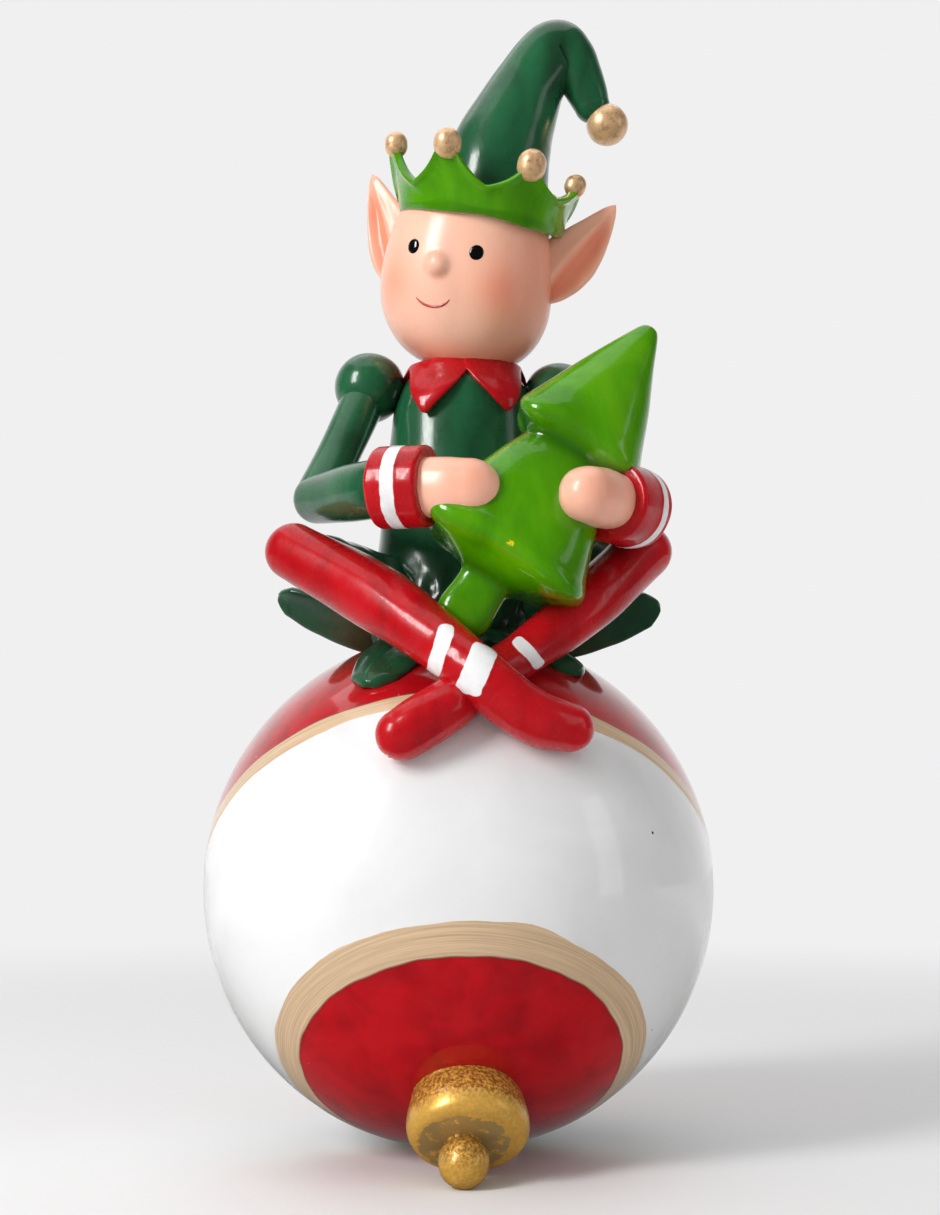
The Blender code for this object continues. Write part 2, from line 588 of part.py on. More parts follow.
def add_ear(side, tip_rise, forms):
    """A long pointed ear: crescent sections from the temple out and back to the tip."""
    middle, turn = head_frame()
    root = Vector((side * HEAD_HALF_WIDTH * 0.80, 0.0005, -0.0005))
    tip = Vector((side * (HEAD_HALF_WIDTH + EAR_LENGTH * 0.48), 0.0085, EAR_LENGTH * 0.90 + tip_rise))
    along = (tip - root).normalized()
    front = Vector((side * 0.30, -1.0, 0.10))
    front = (front - along * front.dot(along)).normalized()
    across = along.cross(front)
    rings = [[middle + turn @ (root - along * 0.001)]]
    for share, wide in ((0.0, 0.72), (0.12, 0.92), (0.28, 1.0), (0.46, 0.92), (0.64, 0.70), (0.82, 0.42),
                        (0.95, 0.18)):
        centre = root.lerp(tip, share)
        half = EAR_WIDTH * wide / 2
        thick = EAR_THICKNESS * (0.45 + 0.55 * wide)
        ring = []
        for i in range(SMALL_SIDES):
            angle = 2 * math.pi * i / SMALL_SIDES
            sideways = math.cos(angle)
            hollow = thick * 0.75 * (1 - sideways * sideways) * wide
            rise = thick / 2 * math.sin(angle) - hollow
            ring.append(middle + turn @ (centre + across * (half * sideways) + front * rise))
        rings.append(ring)
    rings.append([middle + turn @ tip])
    label = "left" if side > 0 else "right"
    finish_form(f"{label}_ear", skin_rings(rings), ["skin lacquer"], forms)


def crown_point(angle, radius, height):
    """A place on the crown in the head's frame: its rim sits low on the brow."""
    middle, turn = head_frame()
    local = Vector((0.0014 + radius * math.sin(angle), -radius * math.cos(angle) * 0.97 + 0.0006,
                    HEAD_HALF_HEIGHT * 0.643 + height))
    return middle + turn @ local


def add_crown(forms):
    """The crown: a flaring band, scalloped between points that each carry a small ball."""
    steps_per_tip = 6
    tips = len(CROWN_TIP_HEIGHTS)
    rings = []
    for i in range(tips * steps_per_tip):
        angle = CROWN_FIRST_TIP + 2 * math.pi * i / (tips * steps_per_tip)
        place = i / steps_per_tip
        before = CROWN_TIP_HEIGHTS[int(place) % tips]
        after = CROWN_TIP_HEIGHTS[(int(place) + 1) % tips]
        nearest = before if place % 1.0 <= 0.5 else after
        from_tip = 1 - abs(place % 1.0 - 0.5) * 2
        point = max(1 - max(from_tip - 0.18, 0.0) / 0.72, 0.0) ** 1.8
        valley = CROWN_VALLEY_HEIGHT if place < CROWN_FRONT_TIPS - 1 else CROWN_BACK_VALLEY_HEIGHT
        top = valley + (nearest - valley) * point
        lean = CROWN_FLARE * top / CROWN_TIP_HEIGHTS[0]
        outer = CROWN_RADIUS + lean
        rings.append([crown_point(angle, CROWN_RADIUS - CROWN_WALL * 1.6, 0.0006),
                      crown_point(angle, CROWN_RADIUS, 0.0),
                      crown_point(angle, CROWN_RADIUS + lean * 0.30, top * 0.45),
                      crown_point(angle, outer, top),
                      crown_point(angle, outer - CROWN_WALL, top + 0.0002),
                      crown_point(angle, CROWN_RADIUS + lean * 0.30 - CROWN_WALL, top * 0.45)])
    finish_form("crown", skin_rings(rings, closed=True), ["bright green lacquer"], forms)
    for i, height in enumerate(CROWN_TIP_HEIGHTS):
        angle = CROWN_FIRST_TIP + 2 * math.pi * i / tips
        lean = CROWN_FLARE * height / CROWN_TIP_HEIGHTS[0]
        centre = crown_point(angle, CROWN_RADIUS + lean - CROWN_WALL / 2, height + CROWN_BALL_RADIUS * 0.45)
        finish_form(f"crown_ball_{i + 1}", ball(centre, CROWN_BALL_RADIUS, BALL_SIDES), ["gold leaf"], forms)


def add_hat(forms):
    """The hat: a tall cone that leans and bends over, its droop folded down to a ball.

    Each station of the cone gives shares of the hat's reach, height and radius.
    """
    middle, turn = head_frame()
    base = middle + turn @ Vector((0.0038, 0.0, HEAD_HALF_HEIGHT * 0.78))
    stations = ((0.00, 0.00, 1.00), (0.10, 0.33, 0.93), (0.23, 0.49, 0.86), (0.40, 0.64, 0.75),
                (0.53, 0.81, 0.55), (0.75, 0.95, 0.46))
    bend = base + Vector((HAT_REACH, 0, HAT_HEIGHT))
    centres = [base + Vector((HAT_REACH * x, 0, HAT_HEIGHT * z)) for x, z, _ in stations]
    cone = swept([*centres, bend], [*[HAT_RADIUS * r for *_, r in stations], HAT_BEND_RADIUS], ROUND_SIDES, 2)
    finish_form("hat_cone", cone, ["dark green lacquer"], forms)
    end = bend + Vector((HAT_DROOP_REACH, 0.0, -HAT_DROOP))
    shoulder = bend + Vector((HAT_DROOP_REACH * 0.46, 0, -HAT_DROOP * 0.22))
    fall = bend + Vector((HAT_DROOP_REACH * 0.76, 0, -HAT_DROOP * 0.64))
    droop = swept([bend, shoulder, fall, end],
                  [HAT_BEND_RADIUS * 0.98, HAT_DROOP_RADIUS * 1.02, HAT_DROOP_RADIUS, HAT_DROOP_RADIUS * 0.82],
                  SMALL_SIDES + 2, 3)
    finish_form("hat_droop", droop, ["dark green lacquer"], forms)
    away = (end - fall).normalized()
    hat_ball = end + away * (HAT_BALL_RADIUS * 1.25) + Vector((HAT_BALL_RADIUS * 0.35, 0, 0))
    finish_form("hat_ball", ball(hat_ball, HAT_BALL_RADIUS, 14), ["gold leaf"], forms)


def build_figurine():
    """The casting: the bauble, with every other form joined to it by one exact union."""
    for item in list(bpy.data.objects):
        bpy.data.objects.remove(item, do_unlink=True)
    scene = bpy.context.scene
    forms = bpy.data.collections.new("forms")
    scene.collection.children.link(forms)
    axis = cap_axis()
    add_cap(axis, forms)
    add_tunic(forms)
    add_skirt_leaves(forms)
    add_collar(forms)
    add_tree(forms)
    add_arms(forms)
    add_legs(forms)
    add_head(forms)
    add_ear(-1, 0.0019, forms)
    add_ear(1, 0.0, forms)
    add_crown(forms)
    add_hat(forms)
    casting = finish_form("elf_figurine", bauble(axis),
                          ["crimson lacquer", "white lacquer", "champagne gold paint"], scene.collection)
    casting.hide_render = False
    casting.display_type = "TEXTURED"
    union = casting.modifiers.new("one casting", "BOOLEAN")
    union.operation = "UNION"
    union.solver = "EXACT"
    union.operand_type = "COLLECTION"
    union.collection = forms
    union.material_mode = "TRANSFER"
    return casting


build_figurine()
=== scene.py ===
"""Looks of the elf figurine: an elf with a small tree, sitting cross-legged on a large bauble.

Each new piece is a surface worked out with numpy on a grid of two parameters. Places and lengths in
these functions are millimetres, and make_piece turns them to metres. The figure looks towards -Y,
+X is on the viewer's right, and the origin is the middle of the flat that the bauble rests on.
"""

import math

import bpy
import numpy as np
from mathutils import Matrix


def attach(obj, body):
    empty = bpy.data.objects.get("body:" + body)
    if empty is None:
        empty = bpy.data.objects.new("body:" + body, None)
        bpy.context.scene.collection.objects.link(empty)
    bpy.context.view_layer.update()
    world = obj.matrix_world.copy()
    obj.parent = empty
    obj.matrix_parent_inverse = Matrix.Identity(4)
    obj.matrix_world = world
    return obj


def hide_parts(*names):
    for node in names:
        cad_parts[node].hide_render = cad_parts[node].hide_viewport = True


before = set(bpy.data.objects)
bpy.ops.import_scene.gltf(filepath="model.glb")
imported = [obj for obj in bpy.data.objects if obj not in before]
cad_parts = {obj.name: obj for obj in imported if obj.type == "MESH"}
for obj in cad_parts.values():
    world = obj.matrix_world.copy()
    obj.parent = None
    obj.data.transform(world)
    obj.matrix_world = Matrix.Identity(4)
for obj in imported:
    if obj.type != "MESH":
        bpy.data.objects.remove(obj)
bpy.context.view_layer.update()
NODE = "elf_figurine"
DOME_ROWS = 12

bl_info = {
    "name": "Elf figurine looks",
    "version": (1, 0, 0),
    "blender": (4, 5, 0),
    "location": "3D View > Sidebar > Elf figurine",
    "description": "Builds the painted surfaces of the elf figurine and the studio round it",
    "category": "Object",
}


def linear_colour(hex_colour):
    """The linear red, green, blue and alpha of an sRGB hex colour."""
    channels = np.array([int(hex_colour[i:i + 2], 16) / 255 for i in (1, 3, 5)])
    linear = np.where(channels <= 0.04045, channels / 12.92, ((channels + 0.055) / 1.055) ** 2.4)
    return (*linear.tolist(), 1.0)


def length_setting(name, description, default):
    """A length of the figurine that a user may change, in metres."""
    return bpy.props.FloatProperty(name=name, description=description, default=default, min=0.0,
                                   precision=4, unit="LENGTH")


def colour_setting(name, description, hex_colour):
    """A paint's colour that a user may change."""
    return bpy.props.FloatVectorProperty(name=name, description=description, subtype="COLOR",
                                         size=4, min=0.0, max=1.0,
                                         default=linear_colour(hex_colour))


class ElfSizes(bpy.types.PropertyGroup):
    """Main sizes, the same as those of the solid."""
    bauble_radius: length_setting("Bauble radius", "Radius of the large bauble", 0.052)
    ground_sink: length_setting("Ground flat", "How far the ground cuts into the bauble", 0.0004)
    cap_radius: length_setting("Cap radius", "Radius of the bauble's cap", 0.0112)
    cap_height: length_setting("Cap height", "Height of the cap beyond the bauble", 0.0084)
    knob_radius: length_setting("Knob radius", "Radius of the knob in the cap's middle", 0.0044)
    torso_height: length_setting("Tunic height", "From the seat up to the neck", 0.058)
    head_half_width: length_setting("Head half width", "From the head's middle to its side", 0.0178)
    head_half_depth: length_setting("Head half depth", "From the head's middle to its face", 0.0168)
    head_half_height: length_setting("Head half height", "From the middle to the chin", 0.0193)
    ear_length: length_setting("Ear length", "Length of each pointed ear", 0.0215)
    crown_radius: length_setting("Crown radius", "Radius of the crown's lower rim", 0.0176)
    hat_height: length_setting("Hat height", "From the hat's foot to its bend", 0.0372)
    hat_ball_radius: length_setting("Hat ball radius", "Radius of the ball on the hat", 0.0043)
    hand_radius: length_setting("Hand radius", "Half the thickness of each hand", 0.0056)
    cuff_radius: length_setting("Cuff radius", "Radius of each cuff", 0.0079)


class ElfPaints(bpy.types.PropertyGroup):
    """Colours of the paints."""
    crimson: colour_setting("Crimson", "Legs, cuffs, collar and the bauble's ends", "#ba0d18")
    dark_green: colour_setting("Dark green", "Tunic, sleeves and hat", "#1f5c39")
    bright_green: colour_setting("Bright green", "Crown and tree", "#4c9600")
    skin: colour_setting("Skin", "Head, ears and hands", "#fbc0a6")
    white: colour_setting("White", "Bauble's middle and the stripes", "#ededed")
    champagne: colour_setting("Champagne gold", "The bauble's two painted rings", "#f0cfa8")
    gold_leaf: colour_setting("Gold leaf", "The bauble's cap and knob", "#ffc75c")
    warm_gold: colour_setting("Warm gold", "Balls on the hat and the crown", "#f8ca98")


def size(name):
    """A named size in millimetres."""
    return getattr(bpy.context.scene.elf_sizes, name) * 1000.0


def colour(name):
    """A named paint's linear colour."""
    return tuple(getattr(bpy.context.scene.elf_paints, name))


def unit(vectors):
    """The same vectors, each at length one."""
    return vectors / np.maximum(np.linalg.norm(vectors, axis=-1, keepdims=True), 1e-9)


def rotation(axis, degrees):
    """The matrix that turns a column vector about X, Y or Z, right-handed."""
    c, s = math.cos(math.radians(degrees)), math.sin(math.radians(degrees))
    rows = {"X": [[1, 0, 0], [0, c, -s], [0, s, c]], "Y": [[c, 0, s], [0, 1, 0], [-s, 0, c]],
            "Z": [[c, -s, 0], [s, c, 0], [0, 0, 1]]}
    return np.array(rows[axis], float)


def around(count):
    """Angles round a full turn in so many even steps."""
    return np.arange(count) * (2 * math.pi / count)


def smooth_spans(a, b, c, d, steps):
    """Catmull-Rom spans between b and c, with so many stations to a span.

    For t from 0 to 1 the place is (2b + (c-a)t + (2a-5b+4c-d)t^2 + (3b-a-3c+d)t^3) / 2.
    """
    t = (np.arange(steps) / steps)[:, None]
    a, b, c, d = (corner[..., None, :] for corner in (a, b, c, d))
    bend, twist = 2 * a - 5 * b + 4 * c - d, 3 * b - a - 3 * c + d
    return (2 * b + (c - a) * t + bend * t ** 2 + twist * t ** 3) / 2


def smooth_path(points, steps):
    """The smooth curve through the rows of points."""
    points = np.asarray(points, float)
    ends = np.vstack([2 * points[0] - points[1], points, 2 * points[-1] - points[-2]])
    spans = smooth_spans(*(ends[i:len(ends) - 3 + i] for i in range(4)), steps)
    return np.vstack([spans.reshape(-1, points.shape[1]), points[-1:]])


def closed_path(points, steps):
    """The same curve for loops: points is loops by corners by coordinates, and each loop closes."""
    spans = smooth_spans(*(np.roll(points, 1 - i, axis=1) for i in range(4)), steps)
    return spans.reshape(points.shape[0], -1, points.shape[2])


def ease(x, low, high):
    """0 below low, 1 above high, and 3s^2 - 2s^3 between."""
    s = np.clip((x - low) / (high - low), 0, 1)
    return s * s * (3 - 2 * s)


def bump(distance, reach, power=2):
    """exp(-(distance / reach)^power)."""
    return np.exp(-(distance / reach) ** power)


def smoothed(values, kernel, times):
    """The row of values, averaged so many times with its neighbours, its ends at 0."""
    values, kernel = values.copy(), np.array(kernel) / sum(kernel)
    for _ in range(times):
        values[2:-2] = np.convolve(values, kernel, "valid")
    values[[0, -1]] = 0.0
    return values


RIPPLE_WAVES = np.array([[0.42, 0.13, -0.21], [-0.21, 0.55, 0.29], [0.46, -0.38, 0.59],
                         [-0.80, -0.50, 0.25], [0.21, 0.80, -0.88]])


def ripple(places):
    """Soft unevenness from -1.2 to 1.2: the mean of five sines of the place, times 1.2."""
    return np.sin(places @ RIPPLE_WAVES.T + np.arange(5) * 1.9).mean(axis=-1) * 1.2


def grid_normals(grid, wrap_rows=False):
    """Outward unit normals of a closed grid: the cross product of its steps along and around.

    The sign comes from the volume, the sum of place times normal over the surface.
    """
    if wrap_rows:
        along = np.roll(grid, -1, axis=0) - np.roll(grid, 1, axis=0)
    else:
        along = np.gradient(grid, axis=0)
    area = np.cross(np.roll(grid, -1, axis=1) - np.roll(grid, 1, axis=1), along)
    outward = 1.0 if (area * (grid - grid.mean(axis=(0, 1)))).sum() > 0 else -1.0
    normals = unit(area) * outward
    if not wrap_rows:
        normals[0], normals[-1] = unit(normals[1].mean(axis=0)), unit(normals[-2].mean(axis=0))
    return normals, outward


def pushed(grid, amount, wrap_rows=False):
    """The grid moved out along its normals by an amount for each place."""
    return grid + grid_normals(grid, wrap_rows)[0] * amount[..., None]


def hand_cast(grid, depth, spacing, wrap_rows=False):
    """The grid pushed in and out along its normals by ripple(place / spacing) times depth."""
    return pushed(grid, depth * ripple(grid * (2 * math.pi / spacing)), wrap_rows)


def make_piece(name, grid, material, wrap_rows=False, **fields):
    """A closed, smooth mesh on a grid of places in millimetres.

    Each row closes on itself. The first and last rows are poles, or meet each other with wrap_rows.
    Each field is what the material reads by that name: a number or vector for each place of the
    grid, a number for each row or column, or one number for all.
    """
    rows, columns = grid.shape[:2]
    _, outward = grid_normals(grid, wrap_rows)
    if wrap_rows:
        index = np.arange(rows * columns).reshape(rows, columns)
        chosen = slice(None)
        below, above = index, np.roll(index, -1, axis=0)
    else:
        index = np.zeros((rows, columns), int)
        index[1:-1] = 1 + np.arange((rows - 2) * columns).reshape(rows - 2, columns)
        index[-1] = 1 + (rows - 2) * columns
        chosen = np.r_[0, columns:(rows - 1) * columns, rows * columns - 1]
        below, above = index[:-1], index[1:]
    corners = (below, np.roll(below, -1, axis=1), np.roll(above, -1, axis=1), above)
    quads = np.stack(corners, axis=-1)
    if outward < 0:
        quads = quads[..., ::-1]
    if wrap_rows:
        faces = quads.reshape(-1, 4).tolist()
    else:
        faces = quads[1:-1].reshape(-1, 4).tolist()
        keep_first, keep_last = ([0, 2, 3], [0, 1, 2]) if outward > 0 else ([0, 1, 3], [1, 2, 3])
        faces += quads[0][:, keep_first].tolist() + quads[-1][:, keep_last].tolist()
    mesh = bpy.data.meshes.new(name)
    mesh.from_pydata((grid.reshape(-1, 3)[chosen] / 1000.0), [], faces)
    for label, values in fields.items():
        vector = np.ndim(values) == 3
        values = np.broadcast_to(values, grid.shape if vector else (rows, columns))
        stored = mesh.attributes.new(label, "FLOAT_VECTOR" if vector else "FLOAT", "POINT")
        flat = values.reshape(rows * columns, -1)[chosen].reshape(-1)
        stored.data.foreach_set("vector" if vector else "value",
                                np.ascontiguousarray(flat, dtype=np.float32))
    mesh.materials.append(material)
    mesh.shade_smooth()
    piece = bpy.data.objects.new(name, mesh)
    bpy.context.scene.collection.objects.link(piece)
    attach(piece, "root")
    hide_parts(NODE)


def limb(stations, steps, columns, hint=(0, 0, 1), flat=1.0, square=2.0):
    """A rounded limb: each station is a place and a radius, joined smoothly and closed by domes.

    The section is the superellipse |x/r|^square + |y/(flat r)|^square = 1, with y along the hint.
    A dome's rows go on from the end by r sin(a), with a radius of r cos(a), for a up to 90 degrees.
    """
    path = smooth_path(stations, steps)
    centres, radii = path[:, :3], path[:, 3]
    tangents = unit(np.gradient(centres, axis=0))
    hints = np.broadcast_to(np.asarray(hint, float), centres.shape)
    angles = np.radians(np.linspace(90, 6, DOME_ROWS))
    lead = centres[0] - tangents[0] * (radii[0] * np.sin(angles))[:, None]
    trail = (centres[-1] + tangents[-1] * (radii[-1] * np.sin(angles))[:, None])[::-1]
    centres = np.vstack([lead, centres, trail])
    radii = np.concatenate([radii[0] * np.cos(angles), radii, (radii[-1] * np.cos(angles))[::-1]])
    tangents, hints = (np.pad(rows, ((DOME_ROWS, DOME_ROWS), (0, 0)), mode="edge")
                       for rows in (tangents, hints))
    across = unit(np.cross(tangents, hints))
    up = np.cross(across, tangents)
    c, s = np.cos(around(columns)), np.sin(around(columns))
    scale = (np.abs(c) ** square + np.abs(s) ** square) ** (-1.0 / square)
    offsets = (across[:, None, :] * (c * scale)[None, :, None]
               + up[:, None, :] * (s * scale * flat)[None, :, None])
    return centres[:, None, :] + offsets * radii[:, None, None]


def lathe(profile, foot, axis, steps, columns):
    """A turned piece: radius and reach pairs, smoothed, spun about the axis from the foot."""
    path = smooth_path(profile, steps)
    a = unit(np.cross(axis, (0.3, 0.2, 1.0)))
    b = np.cross(axis, a)
    turn = around(columns)[:, None]
    radii = np.maximum(path[:, 0], 0.0)
    radii[[0, -1]] = 0.0
    ring = a * np.cos(turn) + b * np.sin(turn)
    return foot + axis * path[:, 1][:, None, None] + ring[None] * radii[:, None, None]


def ball(centre, radius, rows, columns):
    """A sphere: radius times (sin a cos b, sin a sin b, cos a) about its centre."""
    a, b = np.linspace(0, math.pi, rows)[:, None], around(columns)
    offsets = np.stack([np.sin(a) * np.cos(b), np.sin(a) * np.sin(b), np.cos(a) + 0 * b], axis=-1)
    return np.asarray(centre, float) + offsets * radius


def to_segment(grid, start, end):
    """Distance of each place from the straight line between start and end."""
    start, end = np.asarray(start, float), np.asarray(end, float)
    along = end - start
    share = np.clip(((grid - start) @ along) / (along @ along), 0, 1)
    return np.linalg.norm(grid - start - share[..., None] * along, axis=-1)


# Materials


def feed(node, values):
    """Sets a node's inputs to numbers or colours, or links them to sockets, by name or number."""
    for key, value in values.items():
        if isinstance(value, bpy.types.NodeSocket):
            node.id_data.links.new(value, node.inputs[key])
        else:
            node.inputs[key].default_value = value


def add(tree, kind, inputs=None, output=0, **settings):
    """Adds a node with its settings and inputs, and returns one of its output sockets."""
    node = tree.nodes.new(kind)
    for key, value in settings.items():
        setattr(node, key, value)
    feed(node, inputs or {})
    return node.outputs[output]


def noise(tree, place, scale, detail, roughness=0.5, distortion=0.0):
    """A noise with about so many features to a metre."""
    return add(tree, "ShaderNodeTexNoise",
               {"Vector": place, "Scale": scale, "Detail": detail, "Roughness": roughness,
                "Distortion": distortion})


def remap(tree, value, low, high, to_low=0.0, to_high=1.0, **settings):
    """The value between low and high, brought to the range from to_low to to_high."""
    return add(tree, "ShaderNodeMapRange",
               {"Value": value, "From Min": low, "From Max": high, "To Min": to_low,
                "To Max": to_high}, **settings)


def maths(tree, operation, *values):
    """One operation on numbers or sockets."""
    return add(tree, "ShaderNodeMath", dict(enumerate(values)), operation=operation)


def field(tree, name, output="Fac"):
    """A field that make_piece stored on the mesh."""
    return add(tree, "ShaderNodeAttribute", output=output, attribute_name=name)


def raised(tree, height, depth, **normal):
    """The normal of a relief so many millimetres deep."""
    return add(tree, "ShaderNodeBump",
               {"Height": height, "Distance": depth / 1000, "Strength": 1.0, **normal})


def mix_colours(tree, share, first, second):
    """The colour between two colours or colour sockets by share."""
    return add(tree, "ShaderNodeMix", {0: share, 6: first, 7: second}, output=2, data_type="RGBA")


def mix_numbers(tree, share, first, second):
    """The number between two numbers or sockets by share."""
    return add(tree, "ShaderNodeMix", {0: share, 2: first, 3: second}, data_type="FLOAT")


def begin_material(name):
    """A new material with its node tree, its shader and the piece's Object coordinates."""
    material = bpy.data.materials.new(name)
    material.use_nodes = True
    tree = material.node_tree
    place = add(tree, "ShaderNodeTexCoord", output="Object")
    return material, tree, tree.nodes["Principled BSDF"], place


def shade(hue, factor):
    """The same linear colour, lighter or darker."""
    return (*[min(channel * factor, 1.0) for channel in hue[:3]], 1.0)


def varnish(tree, shader, place, roughness=0.2, swell=0.014, brush=0.005, coat=1.0,
            coat_roughness=0.08, dull=0.0):
    """The clear gloss over hand-painted resin: slow swells of the casting and fine brush marks.

    swell is the height in millimetres of unevenness 6 mm wide, and brush that of marks 0.5 mm wide
    and 3 mm long that break up the edges of the highlights. dull is the share of the gloss that is
    missing between the brush marks. It returns the roughness.
    """
    strokes = add(tree, "ShaderNodeMapping", {"Vector": place, "Scale": (1, 1, 0.16)})
    fine = noise(tree, strokes, 1900.0, 3.0, 0.6)
    slow = raised(tree, noise(tree, place, 170.0, 1.0), swell)
    relief = raised(tree, fine, brush, Normal=slow)
    gloss = remap(tree, fine, 0.44, 0.60, coat * (1 - dull), coat) if dull else coat
    patches = noise(tree, place, 260.0, 3.0)
    rough = remap(tree, patches, 0.3, 0.7, roughness - 0.05, roughness + 0.06)
    feed(shader, {"Normal": relief, "Coat Normal": relief, "Roughness": rough, "Coat Weight": gloss,
                  "Coat Roughness": coat_roughness, "IOR": 1.5, "Specular IOR Level": 0.25})
    return rough


def mottled(tree, place, base, deep, light, spacing, stretch=(1, 1, 0.45)):
    """Brushed-on enamel colour: deeper where the paint pools, lighter where it is thin."""
    stroke = add(tree, "ShaderNodeMapping", {"Vector": place, "Scale": stretch})
    pool = noise(tree, stroke, 1000.0 / spacing, 4.0, 0.62, 0.6)
    pooled_paint_and_shade = mix_colours(tree, remap(tree, pool, 0.54, 0.24), base, deep)
    return mix_colours(tree, remap(tree, pool, 0.52, 0.82), pooled_paint_and_shade, light)


def speckled(tree, place, under, speck, spacing, share):
    """Specks of dust caught in the varnish: cells of a Voronoi pattern, near their middles only."""
    distance = add(tree, "ShaderNodeTexVoronoi", {"Vector": place, "Scale": 1000.0 / spacing},
                   output="Distance")
    level = add(tree, "ShaderNodeSeparateColor", {0: distance.node.outputs["Color"]})
    near, rare = maths(tree, "LESS_THAN", distance, 0.035), maths(tree, "LESS_THAN", level, share)
    return mix_colours(tree, maths(tree, "MULTIPLY", near, rare), under, speck)


def field_mask(tree, place, name, wobble, spacing, soft=0.06):
    """1 where a field in millimetres, shaken by a fine noise, is above 0, with a soft edge."""
    fine = noise(tree, place, 1000.0 / spacing, 2.0)
    shake = maths(tree, "MULTIPLY_ADD", fine, wobble, -wobble / 2)
    return remap(tree, maths(tree, "ADD", field(tree, name), shake), -soft, soft)


def enamel(name, hue, deep, light, spacing, striped=False, shade_and_wash_colour=None, chipped=None, **gloss):
    """Hand-brushed gloss enamel on cast resin: pooled colour, brush marks, clear varnish.

    With striped, the field "stripe" turns to white enamel. A further colour, when given, is laid on
    by a field as painted shade, and on skin also as the real blush and a warm wash. chipped is the
    ground colour that shows where "chip" is high.
    """
    if name in bpy.data.materials:
        return bpy.data.materials[name]
    material, tree, shader, place = begin_material(name)
    paint = mottled(tree, place, hue, deep, light, spacing)
    if shade_and_wash_colour:
        # Painted shade, and on skin also the blush and a warm wash, laid over the enamel.
        paint = mix_colours(tree, field(tree, "tint"), paint, linear_colour(shade_and_wash_colour))
    if chipped:
        level = maths(tree, "MULTIPLY", field(tree, "chip"), noise(tree, place, 2200.0, 2.0))
        paint = mix_colours(tree, remap(tree, level, 0.28, 0.36), paint, linear_colour(chipped))
    if striped:
        white = colour("white")
        paint = mix_colours(tree, field_mask(tree, place, "stripe", 0.5, 2.2), paint,
                            mottled(tree, place, white, shade(white, 0.8), white, 4.0))
    feed(shader, {"Base Color": paint})
    varnish(tree, shader, place, **gloss)
    return material


def crimson(striped=False):
    """Crimson gloss enamel: deep red with darker pools and slightly orange thin places."""
    red = colour("crimson")
    name = "crimson_enamel_striped" if striped else "crimson_enamel"
    thin = (min(red[0] * 1.2, 1), red[1] * 1.6, red[2] * 1.3, 1)
    return enamel(name, red, shade(red, 0.62), thin, 11.0, striped, roughness=0.26, coat=0.7,
                  coat_roughness=0.09, brush=0.006, dull=0.6)


def dark_green():
    """Dark green gloss enamel, laid nearly black where painted shade falls."""
    green = colour("dark_green")
    return enamel("dark_green_enamel", green, shade(green, 0.5), shade(green, 1.35), 10.0,
                  shade_and_wash_colour="#121a10", roughness=0.30, coat_roughness=0.14, brush=0.014, dull=0.25)


def bright_green():
    """Bright leaf-green enamel over a yellow ground that shows where the paint is thin, with a
    darker green laid on as painted shade.
    """
    green = colour("bright_green")
    return enamel("bright_green_enamel", green, shade(green, 0.62), linear_colour("#6aa808"), 14.0,
                  shade_and_wash_colour="#235c02", chipped="#e9c51c", roughness=0.22, dull=0.35)


def skin():
    """Peach enamel, with a warm colour laid on as the real blush on the cheeks and as painted shade
    in the hollows, under the chin and on the shaded side.
    """
    peach = colour("skin")
    return enamel("skin_enamel", peach, shade(peach, 0.86), shade(peach, 1.05), 16.0,
                  shade_and_wash_colour="#f4805a", roughness=0.42, coat_roughness=0.24, brush=0.006, dull=0.35)


def plain_enamel(name, hex_colour):
    """Small dabs of thick gloss enamel."""
    hue = linear_colour(hex_colour)
    return enamel(name, hue, shade(hue, 0.8), shade(hue, 1.2), 2.0, roughness=0.15,
                  coat_roughness=0.05, brush=0.002)


def bauble_paint():
    """The bauble's paints: white enamel, crimson enamel and two brushed rings of champagne gold.

    The fields "red" and "ring" are the distances inside the crimson and the gold, and "streak" is a
    place stretched along the rings. A dark line runs round the crimson's edge.
    """
    material, tree, shader, place = begin_material("bauble_enamel_and_gold")
    white, red, gold = colour("white"), colour("crimson"), colour("champagne")
    pale = mottled(tree, place, white, shade(white, 0.93), white, 26.0, (1, 1, 1))
    pale = speckled(tree, place, pale, linear_colour("#3a3432"), 9.0, 0.25)
    deep = mottled(tree, place, red, shade(red, 0.62), shade(red, 1.22), 9.0, (1, 1, 1))
    deep = speckled(tree, place, deep, linear_colour("#f0b8b0"), 4.0, 0.45)
    reds = field_mask(tree, place, "red", 0.25, 2.0)
    rings = field_mask(tree, place, "ring", 0.35, 2.5)
    streaks = noise(tree, field(tree, "streak", "Vector"), 1.0, 5.0, 0.65)
    metal = mix_colours(tree, remap(tree, streaks, 0.35, 0.62), shade(gold, 0.72), gold)
    paint = mix_colours(tree, rings, mix_colours(tree, reds, pale, deep), metal)
    line = remap(tree, maths(tree, "ABSOLUTE", field(tree, "red")), 0.28, 0.08, 0.0, 0.75)
    paint = mix_colours(tree, line, paint, linear_colour("#6e1a14"))
    rough = varnish(tree, shader, place, swell=0.012, brush=0.002, coat_roughness=0.06)
    feed(shader, {"Base Color": paint, "Metallic": maths(tree, "MULTIPLY", rings, 0.2),
                  "Roughness": mix_numbers(tree, rings, rough, 0.42)})
    return material


